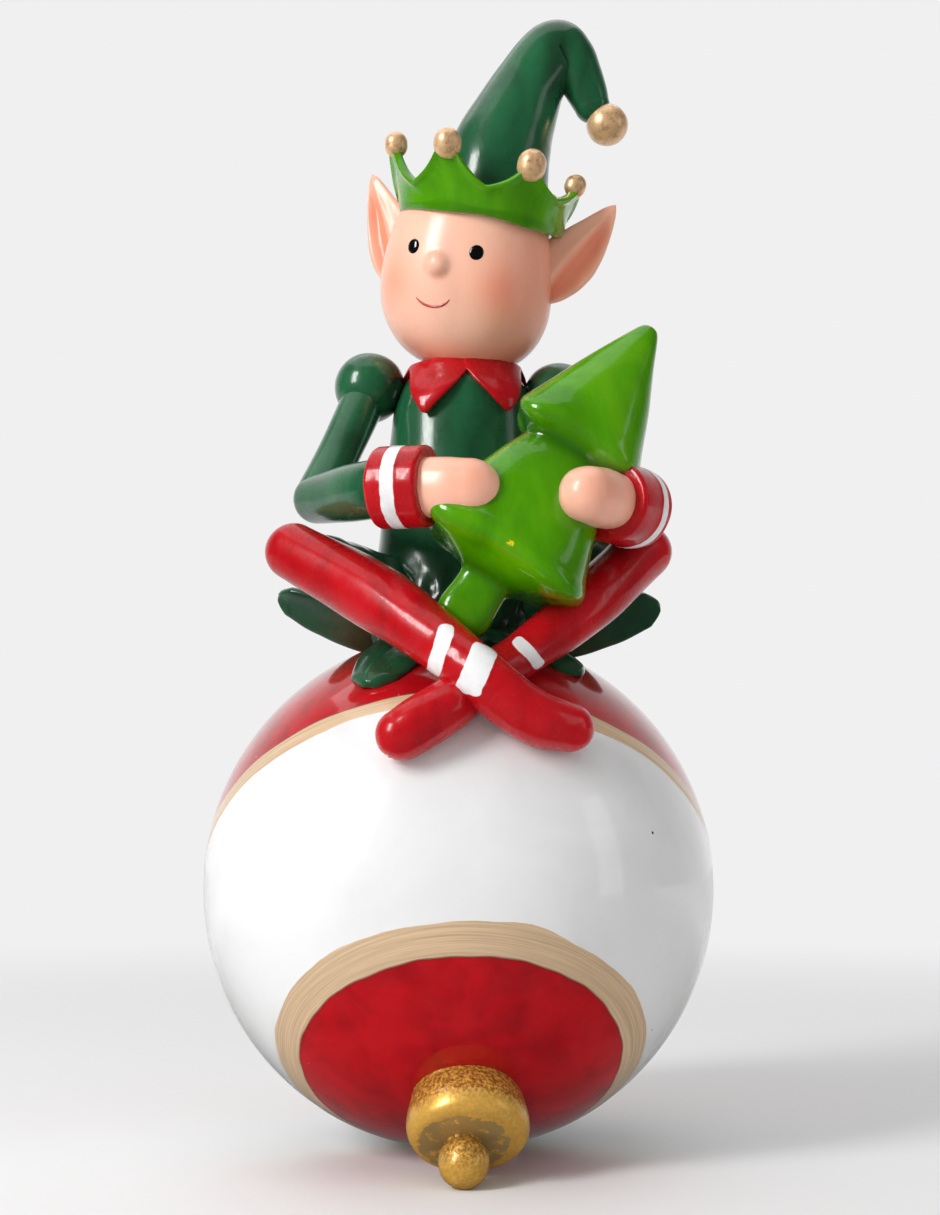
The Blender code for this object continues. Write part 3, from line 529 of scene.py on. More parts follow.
def gold_leaf():
    """Gold leaf over a brown ground: wrinkled, glittering, and rubbed through by "worn"."""
    material, tree, shader, place = begin_material("gold_leaf_rubbed")
    crinkle = noise(tree, place, 1500.0, 4.0, 0.7)
    burnt = field(tree, "burnt")
    dark = maths(tree, "MULTIPLY", remap(tree, crinkle, 0.62, 0.42), burnt)
    gold = mix_colours(tree, dark, colour("gold_leaf"), linear_colour("#8a4f10"))
    rubbed = maths(tree, "ADD", noise(tree, place, 480.0, 6.0, 0.75), field(tree, "worn"))
    bare = remap(tree, rubbed, 0.97, 1.02, 0.0, 0.85)
    fine = raised(tree, crinkle, 0.022)
    relief = raised(tree, maths(tree, "MULTIPLY", crinkle, burnt), 0.16, Normal=fine)
    feed(shader, {"Base Color": mix_colours(tree, bare, gold, linear_colour("#9a8458")),
                  "Metallic": maths(tree, "MULTIPLY_ADD", bare, -0.25, 0.38),
                  "Roughness": remap(tree, crinkle, 0.0, 1.0, 0.2, 0.5), "Normal": relief,
                  "Coat Weight": 0.6, "Coat Roughness": 0.12})
    return material


def warm_gold():
    """Rose-tinted gold paint on the small balls, with brown where it is thin."""
    if "warm_gold_paint" in bpy.data.materials:
        return bpy.data.materials["warm_gold_paint"]
    material, tree, shader, place = begin_material("warm_gold_paint")
    rub = noise(tree, place, 700.0, 5.0, 0.7)
    brown = linear_colour("#94662c")
    thin = remap(tree, rub, 0.50, 0.22)
    feed(shader, {"Base Color": mix_colours(tree, thin, colour("warm_gold"), brown),
                  "Metallic": 0.45, "Coat Weight": 1.0, "Coat Roughness": 0.12,
                  "Roughness": remap(tree, rub, 0.0, 1.0, 0.30, 0.46),
                  "Normal": raised(tree, rub, 0.008)})
    return material


# Places shared by the pieces


def bauble_middle():
    """The middle of the bauble."""
    return np.array([0.0, 0.0, size("bauble_radius") - size("ground_sink")])


def seat():
    """The top of the bauble, where the figure sits."""
    return bauble_middle() + np.array([0.0, 0.0, size("bauble_radius")])

# The cap's turn in degrees to the viewer's right, and the knob's middle beyond the cap's face
CAP_YAW = 1.6
KNOB_REACH = 4.2


def cap_axis():
    """From the bauble's middle through its cap, tipped until the knob meets the floor."""
    reach = size("bauble_radius") + size("cap_height") + KNOB_REACH
    tip = math.asin((bauble_middle()[2] - size("knob_radius")) / reach)
    yaw = math.radians(CAP_YAW)
    return np.array([math.sin(yaw) * math.cos(tip), -math.cos(yaw) * math.cos(tip), -math.sin(tip)])


# The tunic's lean in degrees, its set-back, its depth over its width, and its half width at shares
# of its height
TORSO_LEAN = 1.2
TORSO_BACK = 2.0
TORSO_DEPTH = 0.82
TORSO_STATIONS = ((-0.20, 17.2), (0.08, 18.5), (0.42, 16.9), (0.66, 15.6), (0.84, 14.9),
                  (0.93, 12.8), (1.00, 8.8), (1.10, 7.6))


def torso_place(height):
    """The tunic's middle at heights above the seat, on its slightly leaning axis."""
    height = np.asarray(height, float)
    lean = math.tan(math.radians(TORSO_LEAN))
    return seat() + np.stack([lean * height, TORSO_BACK + 0 * height, height], axis=-1)


def torso_half(height):
    """Half the tunic's width at heights above the seat."""
    shares, widths = np.array(TORSO_STATIONS).T
    return np.interp(np.asarray(height, float) / size("torso_height"), shares, widths)


# The head's turns in degrees, its middle beyond the neck and its own half height, how much taller
# it is above its middle, and the roundness of its upper and lower half
HEAD_TURNS = (("Y", 7.5), ("X", 13.0), ("Z", -17.5))
HEAD_SHIFT = (0.4, -3.0, -1.6)
HEAD_TOP = 1.12
HEAD_ROUND = (2.4, 2.65)


def head_frame():
    """The head's middle, and the matrix that turns its own directions to the object's."""
    lean, nod, look = (rotation(axis, degrees) for axis, degrees in HEAD_TURNS)
    rise = np.array([0.0, 0.0, size("head_half_height")])
    return torso_place(size("torso_height")) + np.array(HEAD_SHIFT) + rise, lean @ nod @ look


def from_head(local):
    """Places in the head's own frame as places of the object."""
    middle, turn = head_frame()
    return middle + np.asarray(local, float) @ turn.T


def head_share(z):
    """Share of the head's full width at heights in its own frame."""
    half = np.where(z < 0, 1.0, HEAD_TOP) * size("head_half_height")
    power = np.where(z < 0, HEAD_ROUND[1], HEAD_ROUND[0])
    return np.maximum(1.0 - (np.abs(z) / half) ** power, 0.0) ** (1.0 / power)


def jaw_shift(z):
    """How far the jaw leans to the viewer's right below the head's middle."""
    return 0.06 * np.maximum(-z, 0.0)


def on_face(x, z, lift=0.0):
    """Places on the front of the head at x and z in its own frame, raised outwards by lift."""
    x, z, lift = np.broadcast_arrays(*(np.asarray(value, float) for value in (x, z, lift)))
    share = head_share(z)
    width, depth = size("head_half_width") * share, size("head_half_depth") * share
    y = -depth * np.sqrt(np.maximum(1 - (x / width) ** 2, 0.0))
    lean = 0.4 * z / size("head_half_height") ** 2
    outward = unit(np.stack([x / width ** 2, y / depth ** 2, lean], axis=-1))
    return np.stack([x + jaw_shift(z), y, z], axis=-1) + outward * lift[..., None]


# Pieces

SIDES = ((-1, "right"), (1, "left"))
# The painted rings' edges, as distances along the bauble from the middle of its cap
LOWER_RING, UPPER_RING = (32.2, 38.4), (80.9, 84.6)


def build_bauble():
    """Bauble: R (cos t axis + sin t ring), t from the cap; rings of paint stand 0.1 mm proud.

    The rings' edges waver by sines of the azimuth f, and the lower ring is wider near f = 1.95.
    """
    radius, axis = size("bauble_radius"), cap_axis()
    a = unit(np.cross(axis, (0.0, 0.0, 1.0)))
    b = np.cross(a, axis)
    t, f = np.linspace(0, math.pi, 230)[:, None], around(300)
    arc = radius * t
    lower_in = (LOWER_RING[0] + 0.20 * np.sin(3 * f + 1.0) + 0.10 * np.sin(11 * f)
                + 0.06 * np.sin(29 * f + 2))
    lower_out = (LOWER_RING[1] + 0.30 * np.sin(2 * f + 0.6) + 0.14 * np.sin(7 * f + 2.0)
                 + 0.08 * np.sin(17 * f)
                 + 0.9 * bump(np.mod(f - 1.95 + math.pi, 2 * math.pi) - math.pi, 0.22))
    upper_in = UPPER_RING[0] + 0.22 * np.sin(4 * f + 2.2) + 0.22 * np.sin(11 * f + 1.0)
    upper_out = UPPER_RING[1] + 0.18 * np.sin(5 * f) + 0.14 * np.sin(19 * f + 1.0)
    ring = np.maximum(np.minimum(arc - lower_in, lower_out - arc),
                      np.minimum(arc - upper_in, upper_out - arc))
    red = np.maximum(lower_in - arc, arc - upper_out)
    proud = 0.10 * ease(ring, -0.3, 0.3) + 0.06 * ease(red, -0.3, 0.3)
    direction = (axis * np.cos(t)[..., None] + a * (np.sin(t) * np.cos(f))[..., None]
                 + b * (np.sin(t) * np.sin(f))[..., None])
    uneven = 0.05 * ripple(direction * 7.0)
    grid = bauble_middle() + direction * (radius - 0.1 + proud + uneven)[..., None]
    grid[..., 2] = np.maximum(grid[..., 2], 0.0)
    streak = np.stack([direction @ a * 2.2, direction @ b * 2.2, (arc + 0 * f) * 2.6], axis=-1)
    make_piece("bauble", grid, bauble_paint(), ring=ring, red=red, streak=streak)


def build_cap():
    """Cap and knob: turned profiles with wrinkles; the cap's rim overlaps the bauble raggedly.

    Outside the bauble the cap stands 0.9 mm aside of its knob.
    """
    axis, middle = cap_axis(), bauble_middle()
    radius, cap, height = size("bauble_radius"), size("cap_radius"), size("cap_height")
    face = radius + height
    profile = [(0.0, radius * 0.93), (cap * 0.6, radius * 0.935), (cap * 0.86, radius * 0.95),
               (cap * 0.90, radius * 0.985), (cap * 0.965, face - height * 0.78),
               (cap, face - height * 0.52), (cap * 0.995, face - height * 0.30),
               (cap * 0.955, face - height * 0.12), (cap * 0.86, face - 0.02),
               (cap * 0.70, face + height * 0.03), (cap * 0.45, face + height * 0.035),
               (cap * 0.20, face + height * 0.04), (0.0, face + height * 0.04)]
    grid = hand_cast(lathe(profile, middle, axis, 8, 140), 0.10, 7.0)
    grid[..., 0] += 0.9 * ease((grid - middle) @ axis, radius * 0.94, radius)
    reach = (grid - middle) @ axis
    off_axis = np.linalg.norm(grid - middle - reach[..., None] * axis, axis=-1)
    burnt = 0.20 + 0.75 * ease(face - reach, 1.5, 4.8)
    worn = 0.56 * ease(reach, face - 0.5, face - 0.1) * ease(off_axis, cap * 0.88, cap * 0.70)
    worn = worn + 0.12 * ease((grid - middle)[..., 2] / radius, -0.9, -0.6)
    make_piece("bauble_cap", grid, gold_leaf(), burnt=burnt, worn=worn)
    knob = size("knob_radius") * 1.04
    centre = face + KNOB_REACH
    profile = [(0.0, face - 0.6), (knob * 0.95, face - 0.5), (knob * 0.74, face + 0.25),
               (knob * 0.70, centre - knob * 0.72), (knob * 0.93, centre - knob * 0.42),
               (knob, centre), (knob * 0.87, centre + knob * 0.5),
               (knob * 0.5, centre + knob * 0.87), (knob * 0.2, centre + knob * 0.985),
               (0.0, centre + knob)]
    grid = hand_cast(lathe(profile, middle, axis, 6, 80), 0.06, 4.0)
    grid[..., 2] = np.maximum(grid[..., 2], 0.0)
    lift = (grid - middle - axis * centre)[..., 2] / knob
    make_piece("cap_knob", grid, bpy.data.materials["gold_leaf_rubbed"],
               burnt=0.3 + 0.6 * ease(lift, -0.1, 0.6), worn=0.36)


def build_tunic():
    """Tunic: ovals of half width w(h), with seven folds low down, w(1 + 0.022 cos 7f)."""
    tall = size("torso_height")
    height = np.concatenate([[-0.215], np.linspace(-0.20, 1.09, 110), [1.095]])[:, None] * tall
    f = around(120)
    wide = smoothed(torso_half(height[:, 0]), (1, 4, 6, 4, 1), 12)[:, None]
    wide = wide * (1 + 0.022 * np.cos(7 * f + 0.4) * ease(0.35 * tall - height, 0, 18))
    oval = np.stack([wide * np.cos(f), wide * TORSO_DEPTH * np.sin(f), 0 * wide], axis=-1)
    grid = torso_place(height) + oval
    gathered = 0.80 * ripple(grid * np.array([2.2, 2.0, 1.2])) * ease(16.0 - height, 0, 10)
    grid = hand_cast(pushed(grid, gathered), 0.14, 9.0)
    # Painted shade: the tunic darkens towards its hem, where it meets the bauble.
    low = ease(0.36 - height / tall, 0, 0.30)
    make_piece("tunic", grid, dark_green(), tint=low * 0.65)


def leaf_grid(spine, widths, normals, thickness, crease):
    """A leaf: flat superellipse sections along a smooth spine, with a rib down the middle.

    Each section is x = w cos a, y = t sin a |sin a|^-0.4 - 0.3 t cos^2 a, and the rib adds crease.
    """
    path = smooth_path(np.column_stack([spine, normals]), 12)
    centres, up = path[:, :3], unit(path[:, 3:6])
    share = np.linspace(0, 1, len(centres))
    tip = np.sqrt(np.clip((1 - share) / 0.10, 0, 1))[:, None]
    wide = np.interp(share, np.linspace(0, 1, len(widths)), widths)
    wide = smoothed(wide, (1, 2, 3, 2, 1), 4)[:, None] * tip
    tangent = unit(np.gradient(centres, axis=0))
    across = unit(np.cross(tangent, up))
    up = np.cross(across, tangent)
    x, s = np.cos(around(40)), np.sin(around(40))
    thick = thickness * (0.35 + 0.65 * tip)
    rise = thick / 2 * np.sign(s) * np.abs(s) ** 0.6 - thick * 0.3 * x ** 2
    rise = rise + crease * bump(x, 0.12) * ease(s, 0, 0.5) * tip
    rise[[0, -1]] = 0.0
    return (centres[:, None] + across[:, None] * (wide / 2 * x)[..., None]
            + up[:, None] * rise[..., None])


# Each hem leaf: azimuth and reach, the tip's rise, its twist in degrees and its share of the width
SKIRT_LEAVES = ((14, 12.5, -20.0, 0, 1.0), (48, 19.5, -20.0, 0, 1.0), (93, 29.5, 7.4, -58, 1.0),
                (140, 15.0, -20.0, 0, 1.0), (182, 15.0, -20.0, 0, 1.0), (224, 15.0, -20.0, 0, 1.0),
                (268, 25.0, 9.5, 34, 1.05), (331, 23.0, -20.0, 0, 1.3))
LEAF_ROOT, LEAF_WIDTH, LEAF_THICKNESS = 12.95, 12.8, 2.6
LEAF_SHAPE = np.array([0.80, 0.92, 1.0, 0.98, 0.90, 0.72, 0.50])


def build_skirt_leaves():
    """Hem leaves: each spine lies on the bauble or rises off it, whichever is higher."""
    radius, middle, share = size("bauble_radius"), bauble_middle(), np.linspace(0, 1, 7)
    for number, (degrees, reach, rise, twist, breadth) in enumerate(SKIRT_LEAVES, start=1):
        azimuth = math.radians(degrees)
        outward = np.array([math.sin(azimuth), -math.cos(azimuth), 0.0])
        flat = LEAF_ROOT + reach * share
        hill = np.sqrt(np.maximum(radius ** 2 - flat ** 2, 0.0))
        lying = middle[2] + hill + LEAF_THICKNESS * 0.35 / hill * radius
        lifted = seat()[2] + 0.6 - LEAF_ROOT * 0.12 + rise * share ** 1.2
        spine = outward * flat[:, None]
        spine[:, 2] = np.maximum(lying, lifted)
        along = unit(np.gradient(spine, axis=0))
        normal = np.cross(along, np.cross((0.0, 0.0, 1.0), outward))
        normal = normal * np.sign(normal[:, 2:])
        c, s = math.cos(math.radians(twist)), math.sin(math.radians(twist))
        normal = normal * c + np.cross(along, normal) * s
        leaf = leaf_grid(spine, LEAF_WIDTH * breadth * LEAF_SHAPE, normal, LEAF_THICKNESS, 0.35)
        # A darker green all along each leaf, and painted shade that deepens towards its root under
        # the hem.
        tint = 0.3 + 0.6 * ease(0.5 - np.linspace(0, 1, len(leaf)), 0, 0.5)[:, None]
        make_piece(f"skirt_leaf_{number}", hand_cast(leaf, 0.12, 6.0), dark_green(), tint=tint)


# The collar's section: shares of a petal's length down it, and how far off the tunic's oval
COLLAR_SHARES = np.array([-0.10, 0.02, 0.25, 0.5, 0.75, 0.93, 1.0, 0.95, 0.75, 0.4, 0.0])
COLLAR_LIFTS = np.array([-2.5, 0.25, 0.85, 1.05, 1.05, 0.95, 0.35, -0.35, -1.2, -2.2, -3.2])


def build_collar():
    """Collar: a star of five pointed petals laid on the chest, shorter at the sides.

    Down each azimuth the sheet follows the tunic's oval, and its section is a thin closed loop.
    """
    azimuth = around(400)
    place = np.mod((azimuth + math.radians(33)) / (2 * math.pi / 5) + 0.5, 1.0) - 0.5
    point = 1 - np.abs(place) * 2
    length = 3.0 + 10.8 * np.minimum(point, 0.94) ** 1.02
    length = (length * (1 - 0.62 * np.abs(np.sin(azimuth)) ** 4))[:, None]
    outward = np.stack([np.sin(azimuth), -np.cos(azimuth), 0 * azimuth], axis=-1)[:, None]
    below = 0.9 + length * COLLAR_SHARES
    height = size("torso_height") - below
    wide = 11.3 + 3.8 * ease(below, 0.9, 10.9)
    sideways = np.abs(outward[..., 0])
    depth = wide * (sideways + TORSO_DEPTH * (1 - sideways))
    flare = 0.7 * np.clip(COLLAR_SHARES, 0, 1) * (length / 12.6)
    loop = torso_place(height) + outward * (depth + COLLAR_LIFTS + flare)[..., None]
    grid = hand_cast(closed_path(loop, 4), 0.08, 5.0, True)
    make_piece("collar", grid, crimson(), wrap_rows=True)


# The tree's foot from the seat, its lean to the right and its turn in degrees, and how far its tip
# leans back as a share of its length
TREE_FOOT = (-0.6, -33.0, -2.3)
TREE_LEAN, TREE_TURN, TREE_BACK = 32.8, -1.8, 0.074
TREE_LENGTH = 71.7
# Reach along the tree, half width, droop of the corners and squareness
TREE_PROFILE = (
    (0.0, 0.0, 0.0, 2.9), (0.15, 3.0, 0.0, 2.9), (0.7, 4.4, 0.0, 2.8), (2.0, 5.3, 0.0, 2.9),
    (4.0, 5.5, 0.0, 3.0), (7.6, 5.2, 0.1, 3.0), (10.4, 5.3, 0.1, 3.1), (12.0, 7.0, 0.2, 3.4),
    (13.5, 10.6, 0.4, 3.4), (15.0, 14.8, 0.7, 3.5), (16.4, 17.2, 0.8, 3.5), (17.8, 17.8, 0.8, 3.5),
    (19.2, 17.3, 0.7, 3.4), (21.4, 16.2, 0.6, 3.3), (28.0, 13.8, 0.3, 3.1), (35.0, 11.3, 0.1, 2.9),
    (38.2, 9.9, 0.1, 2.8), (39.8, 9.5, 0.2, 2.8), (41.2, 10.3, 0.4, 3.0), (42.6, 12.1, 0.8, 3.3),
    (43.9, 13.2, 1.0, 3.4), (45.2, 13.4, 1.0, 3.4), (46.7, 12.9, 0.9, 3.3), (49.4, 11.7, 0.6, 3.0),
    (57.0, 8.5, 0.3, 2.7), (64.6, 5.0, 0.0, 2.4), (69.0, 2.9, 0.0, 2.2), (70.8, 1.9, 0.0, 2.0),
    (71.5, 1.1, 0.0, 2.0), (71.75, 0.0, 0.0, 2.0))


def tree_frame():
    """The foot of the trunk, the direction to the tip, and the tree's own across and depth."""
    lean, turn = math.radians(TREE_LEAN), math.radians(TREE_TURN)
    direction = unit(np.array([math.sin(lean), TREE_BACK, math.cos(lean)]))
    across = unit(np.cross(direction, (0.0, 1.0, 0.0)))
    depth = np.cross(direction, across)
    c, s = math.cos(turn), math.sin(turn)
    return seat() + np.array(TREE_FOOT), direction, across * c + depth * s, depth * c - across * s


def build_tree():
    """Tree: one profile from trunk to tip, each section |x/h|^p + |y/(0.78h)|^p = 1.

    The corners sag, painted shade darkens the green under each tier and towards the trunk's foot,
    and a chip shows the yellow ground in front.
    """
    foot, direction, across, depth = tree_frame()
    path = smooth_path(TREE_PROFILE, 9)
    reach, half, droop, power = (path[:, i:i + 1] for i in range(4))
    half = np.maximum(half, 0.0)
    half[[0, -1]] = 0.0
    u, v = np.cos(around(160)), np.sin(around(160))
    scale = half / (np.abs(u) ** power + np.abs(v) ** power) ** (1 / power)
    sag = 1.6 * np.maximum(droop, 0) * (2 * np.abs(u * v)) ** 3 * (half > 0)
    grid = (foot + direction * (reach - sag)[..., None] + across * (u * scale)[..., None]
            + depth * (v * scale * 0.78)[..., None])
    grid = hand_cast(grid, 0.16, 13.0)
    # Painted shade under the two tiers and along the trunk's foot.
    pooled_paint_and_shade = (bump(reach - 40.2, 1.5) + 0.9 * bump(reach - 11.4, 1.5)
              + 0.25 * ease(12.0 - reach, 0, 8))
    chip = bump(to_segment(grid, (8.6, -45.6, 115.2), (10.0, -45.6, 115.8)), 0.8)
    make_piece("tree", grid, bright_green(), tint=np.clip(pooled_paint_and_shade, 0, 1) * 0.85, chip=chip)


# Each arm by side: elbow from shoulder, hand from the tree's middle, and the hand's heading
ARMS = {-1: ((-9.6, -15.0, -26.8), (-14.9, -8.6, 2.0), (0.93, -0.36, -0.02)),
        1: ((10.5, -11.0, -25.5), (10.3, -9.2, -0.3), (-0.58, -0.81, 0.02))}


def arm_places(side):
    """Shoulder, elbow, cuff foot, wrist, hand and heading of one arm; side is -1 or 1 along X."""
    foot, direction, _, _ = tree_frame()
    shoulder = torso_place(size("torso_height") * 0.892) + np.array([side * 20.1, 0.0, -side * 1.1])
    elbow, offset, heading = (np.array(row) for row in ARMS[side])
    heading = unit(heading)
    hand = foot + direction * (0.41 * TREE_LENGTH) + offset
    wrist = hand - heading * 6.3
    return shoulder, shoulder + elbow, wrist - heading * 10.4, wrist, hand, heading


def build_arms():
    """Arms: ball shoulders, upper arms and forearms as limbs, meeting at a rounded elbow."""
    for side, label in SIDES:
        shoulder, elbow, cuff, _, _, heading = arm_places(side)
        grid = hand_cast(ball(shoulder, 7.5, 40, 64), 0.10, 8.0)
        shadow = ease((grid - shoulder)[..., 0] * -side, 2.0, 7.5)
        make_piece(f"{label}_shoulder", grid, dark_green(), tint=shadow * 0.75)
        lower, mid = (shoulder + (elbow - shoulder) * share for share in (0.10, 0.55))
        grid = limb([(*lower, 4.7), (*mid, 4.5), (*elbow, 4.8)], 16, 64, (0, 1, 0))
        make_piece(f"{label}_upper_sleeve", hand_cast(grid, 0.12, 9.0), dark_green(), tint=0.0)
        grid = limb([(*elbow, 4.9), (*((elbow + cuff) / 2), 5.6), (*cuff, 5.7),
                     (*(cuff + heading * 4.0), 5.5)], 14, 64, (0, 0.2, 1))
        make_piece(f"{label}_forearm", hand_cast(grid, 0.12, 9.0), dark_green(), tint=0.0)


# The middle and the half width of the stripe on each cuff
CUFF_STRIPES = {-1: (4.7, 1.35), 1: (2.9, 0.85)}


def build_cuffs():
    """Cuffs: short turned drums with soft rims and one painted white stripe round each."""
    radius = size("cuff_radius")
    profile = [(0.0, 0.8), (radius * 0.60, 0.6), (radius * 0.90, 0.15), (radius * 0.985, 0.6),
               (radius, 1.6), (radius * 0.995, 5.2), (radius, 9.2), (radius * 0.98, 10.2),
               (radius * 0.88, 10.6), (radius * 0.5, 10.3), (0.0, 10.2)]
    for side, label in SIDES:
        _, _, cuff, _, _, heading = arm_places(side)
        grid = lathe(profile, cuff, heading, 8, 120)
        reach = (grid - cuff) @ heading
        middle, half = CUFF_STRIPES[side]
        band = half - np.abs(reach - middle - 0.35 * ripple(grid / 3.0))
        outer = np.linalg.norm(grid - cuff - reach[..., None] * heading, axis=-1) - radius * 0.9
        stripe = np.minimum(band, outer * 4)
        grid = hand_cast(pushed(grid, 0.12 * ease(stripe, -0.2, 0.2)), 0.10, 6.0)
        make_piece(f"{label}_cuff", grid, crimson(True), stripe=stripe)


def build_hands():
    """Hands: rounded mittens of squarish section, flattened where they press on the tree."""
    radius = size("hand_radius")
    for side, label in SIDES:
        _, _, _, wrist, hand, heading = arm_places(side)
        end = hand + heading * (7.3 - radius * 0.9)
        drop, thick = (0.7, radius * 1.08) if side < 0 else (0.0, radius * 1.02)
        down = np.array([0.0, 0.0, -drop])
        stations = [(*(wrist - heading * 2.0), thick * 0.94), (*((wrist + end) / 2 + down), thick),
                    (*(end + down), thick * 0.93)]
        grid = hand_cast(limb(stations, 16, 72, (0, 0, 1), 0.98, 2.3), 0.05, 14.0)
        # A warm wash over the whole hand, and painted shade in a soft spot on its front.
        warm = 0.10 + 0.25 * bump(to_segment(grid, hand + (0.5, -5, 0), hand + (2.0, -5, 0.5)), 3.4)
        make_piece(f"{label}_hand", grid, skin(), tint=warm)


def over_bauble(rows):
    """Places from rows of azimuth and elevation in degrees and lift in mm, with the radius kept."""
    rows = np.asarray(rows, float)
    a, e = np.radians(rows[:, 0]), np.radians(rows[:, 1])
    direction = np.stack([np.sin(a) * np.cos(e), -np.cos(a) * np.cos(e), np.sin(e)], axis=-1)
    places = bauble_middle() + direction * (size("bauble_radius") + rows[:, 2:3])
    return np.column_stack([places, rows[:, 3]])


# Each shin over the bauble: azimuth, elevation, lift and radius
SHINS = {
    "right": ((-27.4, 59.0, 13.2, 6.5), (-4.6, 48.9, 9.5, 5.4), (3.9, 42.0, 8.9, 5.0),
              (10.8, 37.4, 6.8, 5.1), (18.0, 34.2, 4.8, 5.1), (26.2, 32.8, 4.0, 4.5)),
    "left": ((47.1, 57.7, 14.0, 5.7), (22.6, 53.0, 5.0, 4.5), (12.5, 48.8, 3.6, 4.3),
             (2.6, 42.0, 3.8, 4.5), (-2.8, 37.2, 4.2, 4.9), (-8.2, 33.4, 4.5, 5.0),
             (-12.2, 30.9, 4.2, 4.7))}
# Each stripe: its middle, its direction in X and Z, and half its length and width
STRIPES = {"right": (((-3.1, 96.1), (-2.6, -8.1), 4.9, 1.5),
                     ((3.6, 92.2), (-3.0, -7.4), 4.75, 2.4)),
           "left": (((13.3, 96.5), (3.8, -4.1), 3.6, 1.25),)}


def stripe_field(grid, stripes):
    """How far inside a painted stripe each place is: rounded rectangles laid on from the front.

    With a and b the distances along and across beyond the rectangle, it is 1 - sqrt(a^2 + b^2).
    """
    field = np.full(grid.shape[:2], -9.0)
    for (x, z), (run, rise), long_half, wide_half in stripes:
        length = math.hypot(run, rise)
        dx, dz = grid[..., 0] - x, grid[..., 2] - z
        along = np.abs(dx * run + dz * rise) / length + 0.15 * ripple(grid * 1.9)
        across = np.abs(dx * rise - dz * run) / length + 0.15 * ripple(grid * 1.6)
        beyond = np.hypot(np.maximum(along - long_half + 1.0, 0),
                          np.maximum(across - wide_half + 1.0, 0))
        field = np.maximum(field, 1.0 - beyond)
    return field


def build_legs():
    """Legs: a thigh from hip to knee and a striped shin over the bauble to the foot."""
    for label, side, forward, lift in (("right", -1, 18.0, -0.4), ("left", 1, 14.0, 0.2)):
        hip = seat() + np.array([side * 9.25, 0.0, 6.5])
        knee = seat() + np.array([side * 35.0 + 2.2, -forward, 15.0 + lift])
        thigh = knee - hip
        mid, end = hip + thigh * 0.55, hip + thigh * 0.88
        grid = limb([(*hip, 7.4), (*mid, 5.9), (*end, 5.2)], 24, 90)
        share = ((grid - hip) @ thigh) / (thigh @ thigh)
        cover = ease(0.84 - share + 0.05 * ripple(grid / 1.5), 0, 0.03)
        folds = 0.55 * ripple(grid * np.array([0.8, 2.0, 1.8])) * cover
        # Painted shade: the thigh, which lies behind the shin, is darkened all along, and more near
        # the knee where it runs under the shin.
        make_piece(f"{label}_thigh", pushed(grid, 0.6 * cover + folds), dark_green(),
                   tint=0.35 + 0.4 * (1 - cover))
        rows = np.vstack([[*knee, 5.8], over_bauble(SHINS[label])])
        away = unit(smooth_path(rows, 14)[:, :3] - bauble_middle())
        grid = limb(rows, 14, 72, away)
        normals, _ = grid_normals(grid, False)
        stripe = np.where(normals[..., 1] < 0.1, stripe_field(grid, STRIPES[label]), -9.0)
        grid = hand_cast(pushed(grid, 0.14 * ease(stripe, -0.2, 0.25)), 0.14, 9.0)
        make_piece(f"{label}_shin", grid, crimson(True), stripe=stripe)


# Places on the face, as x and z in the head's frame; cheeks and eyes are mirrored
NOSE, CHEEK, EYE = (-0.7, 1.2), (11.0, -2.5), (6.9, 4.5)
EYE_SIZE = (1.42, 1.62)
MOUTH = ((-5.3, -5.6), (-4.2, -6.5), (-2.8, -7.1), (-1.2, -7.3), (0.5, -7.0), (1.8, -6.2),
         (2.5, -5.4))


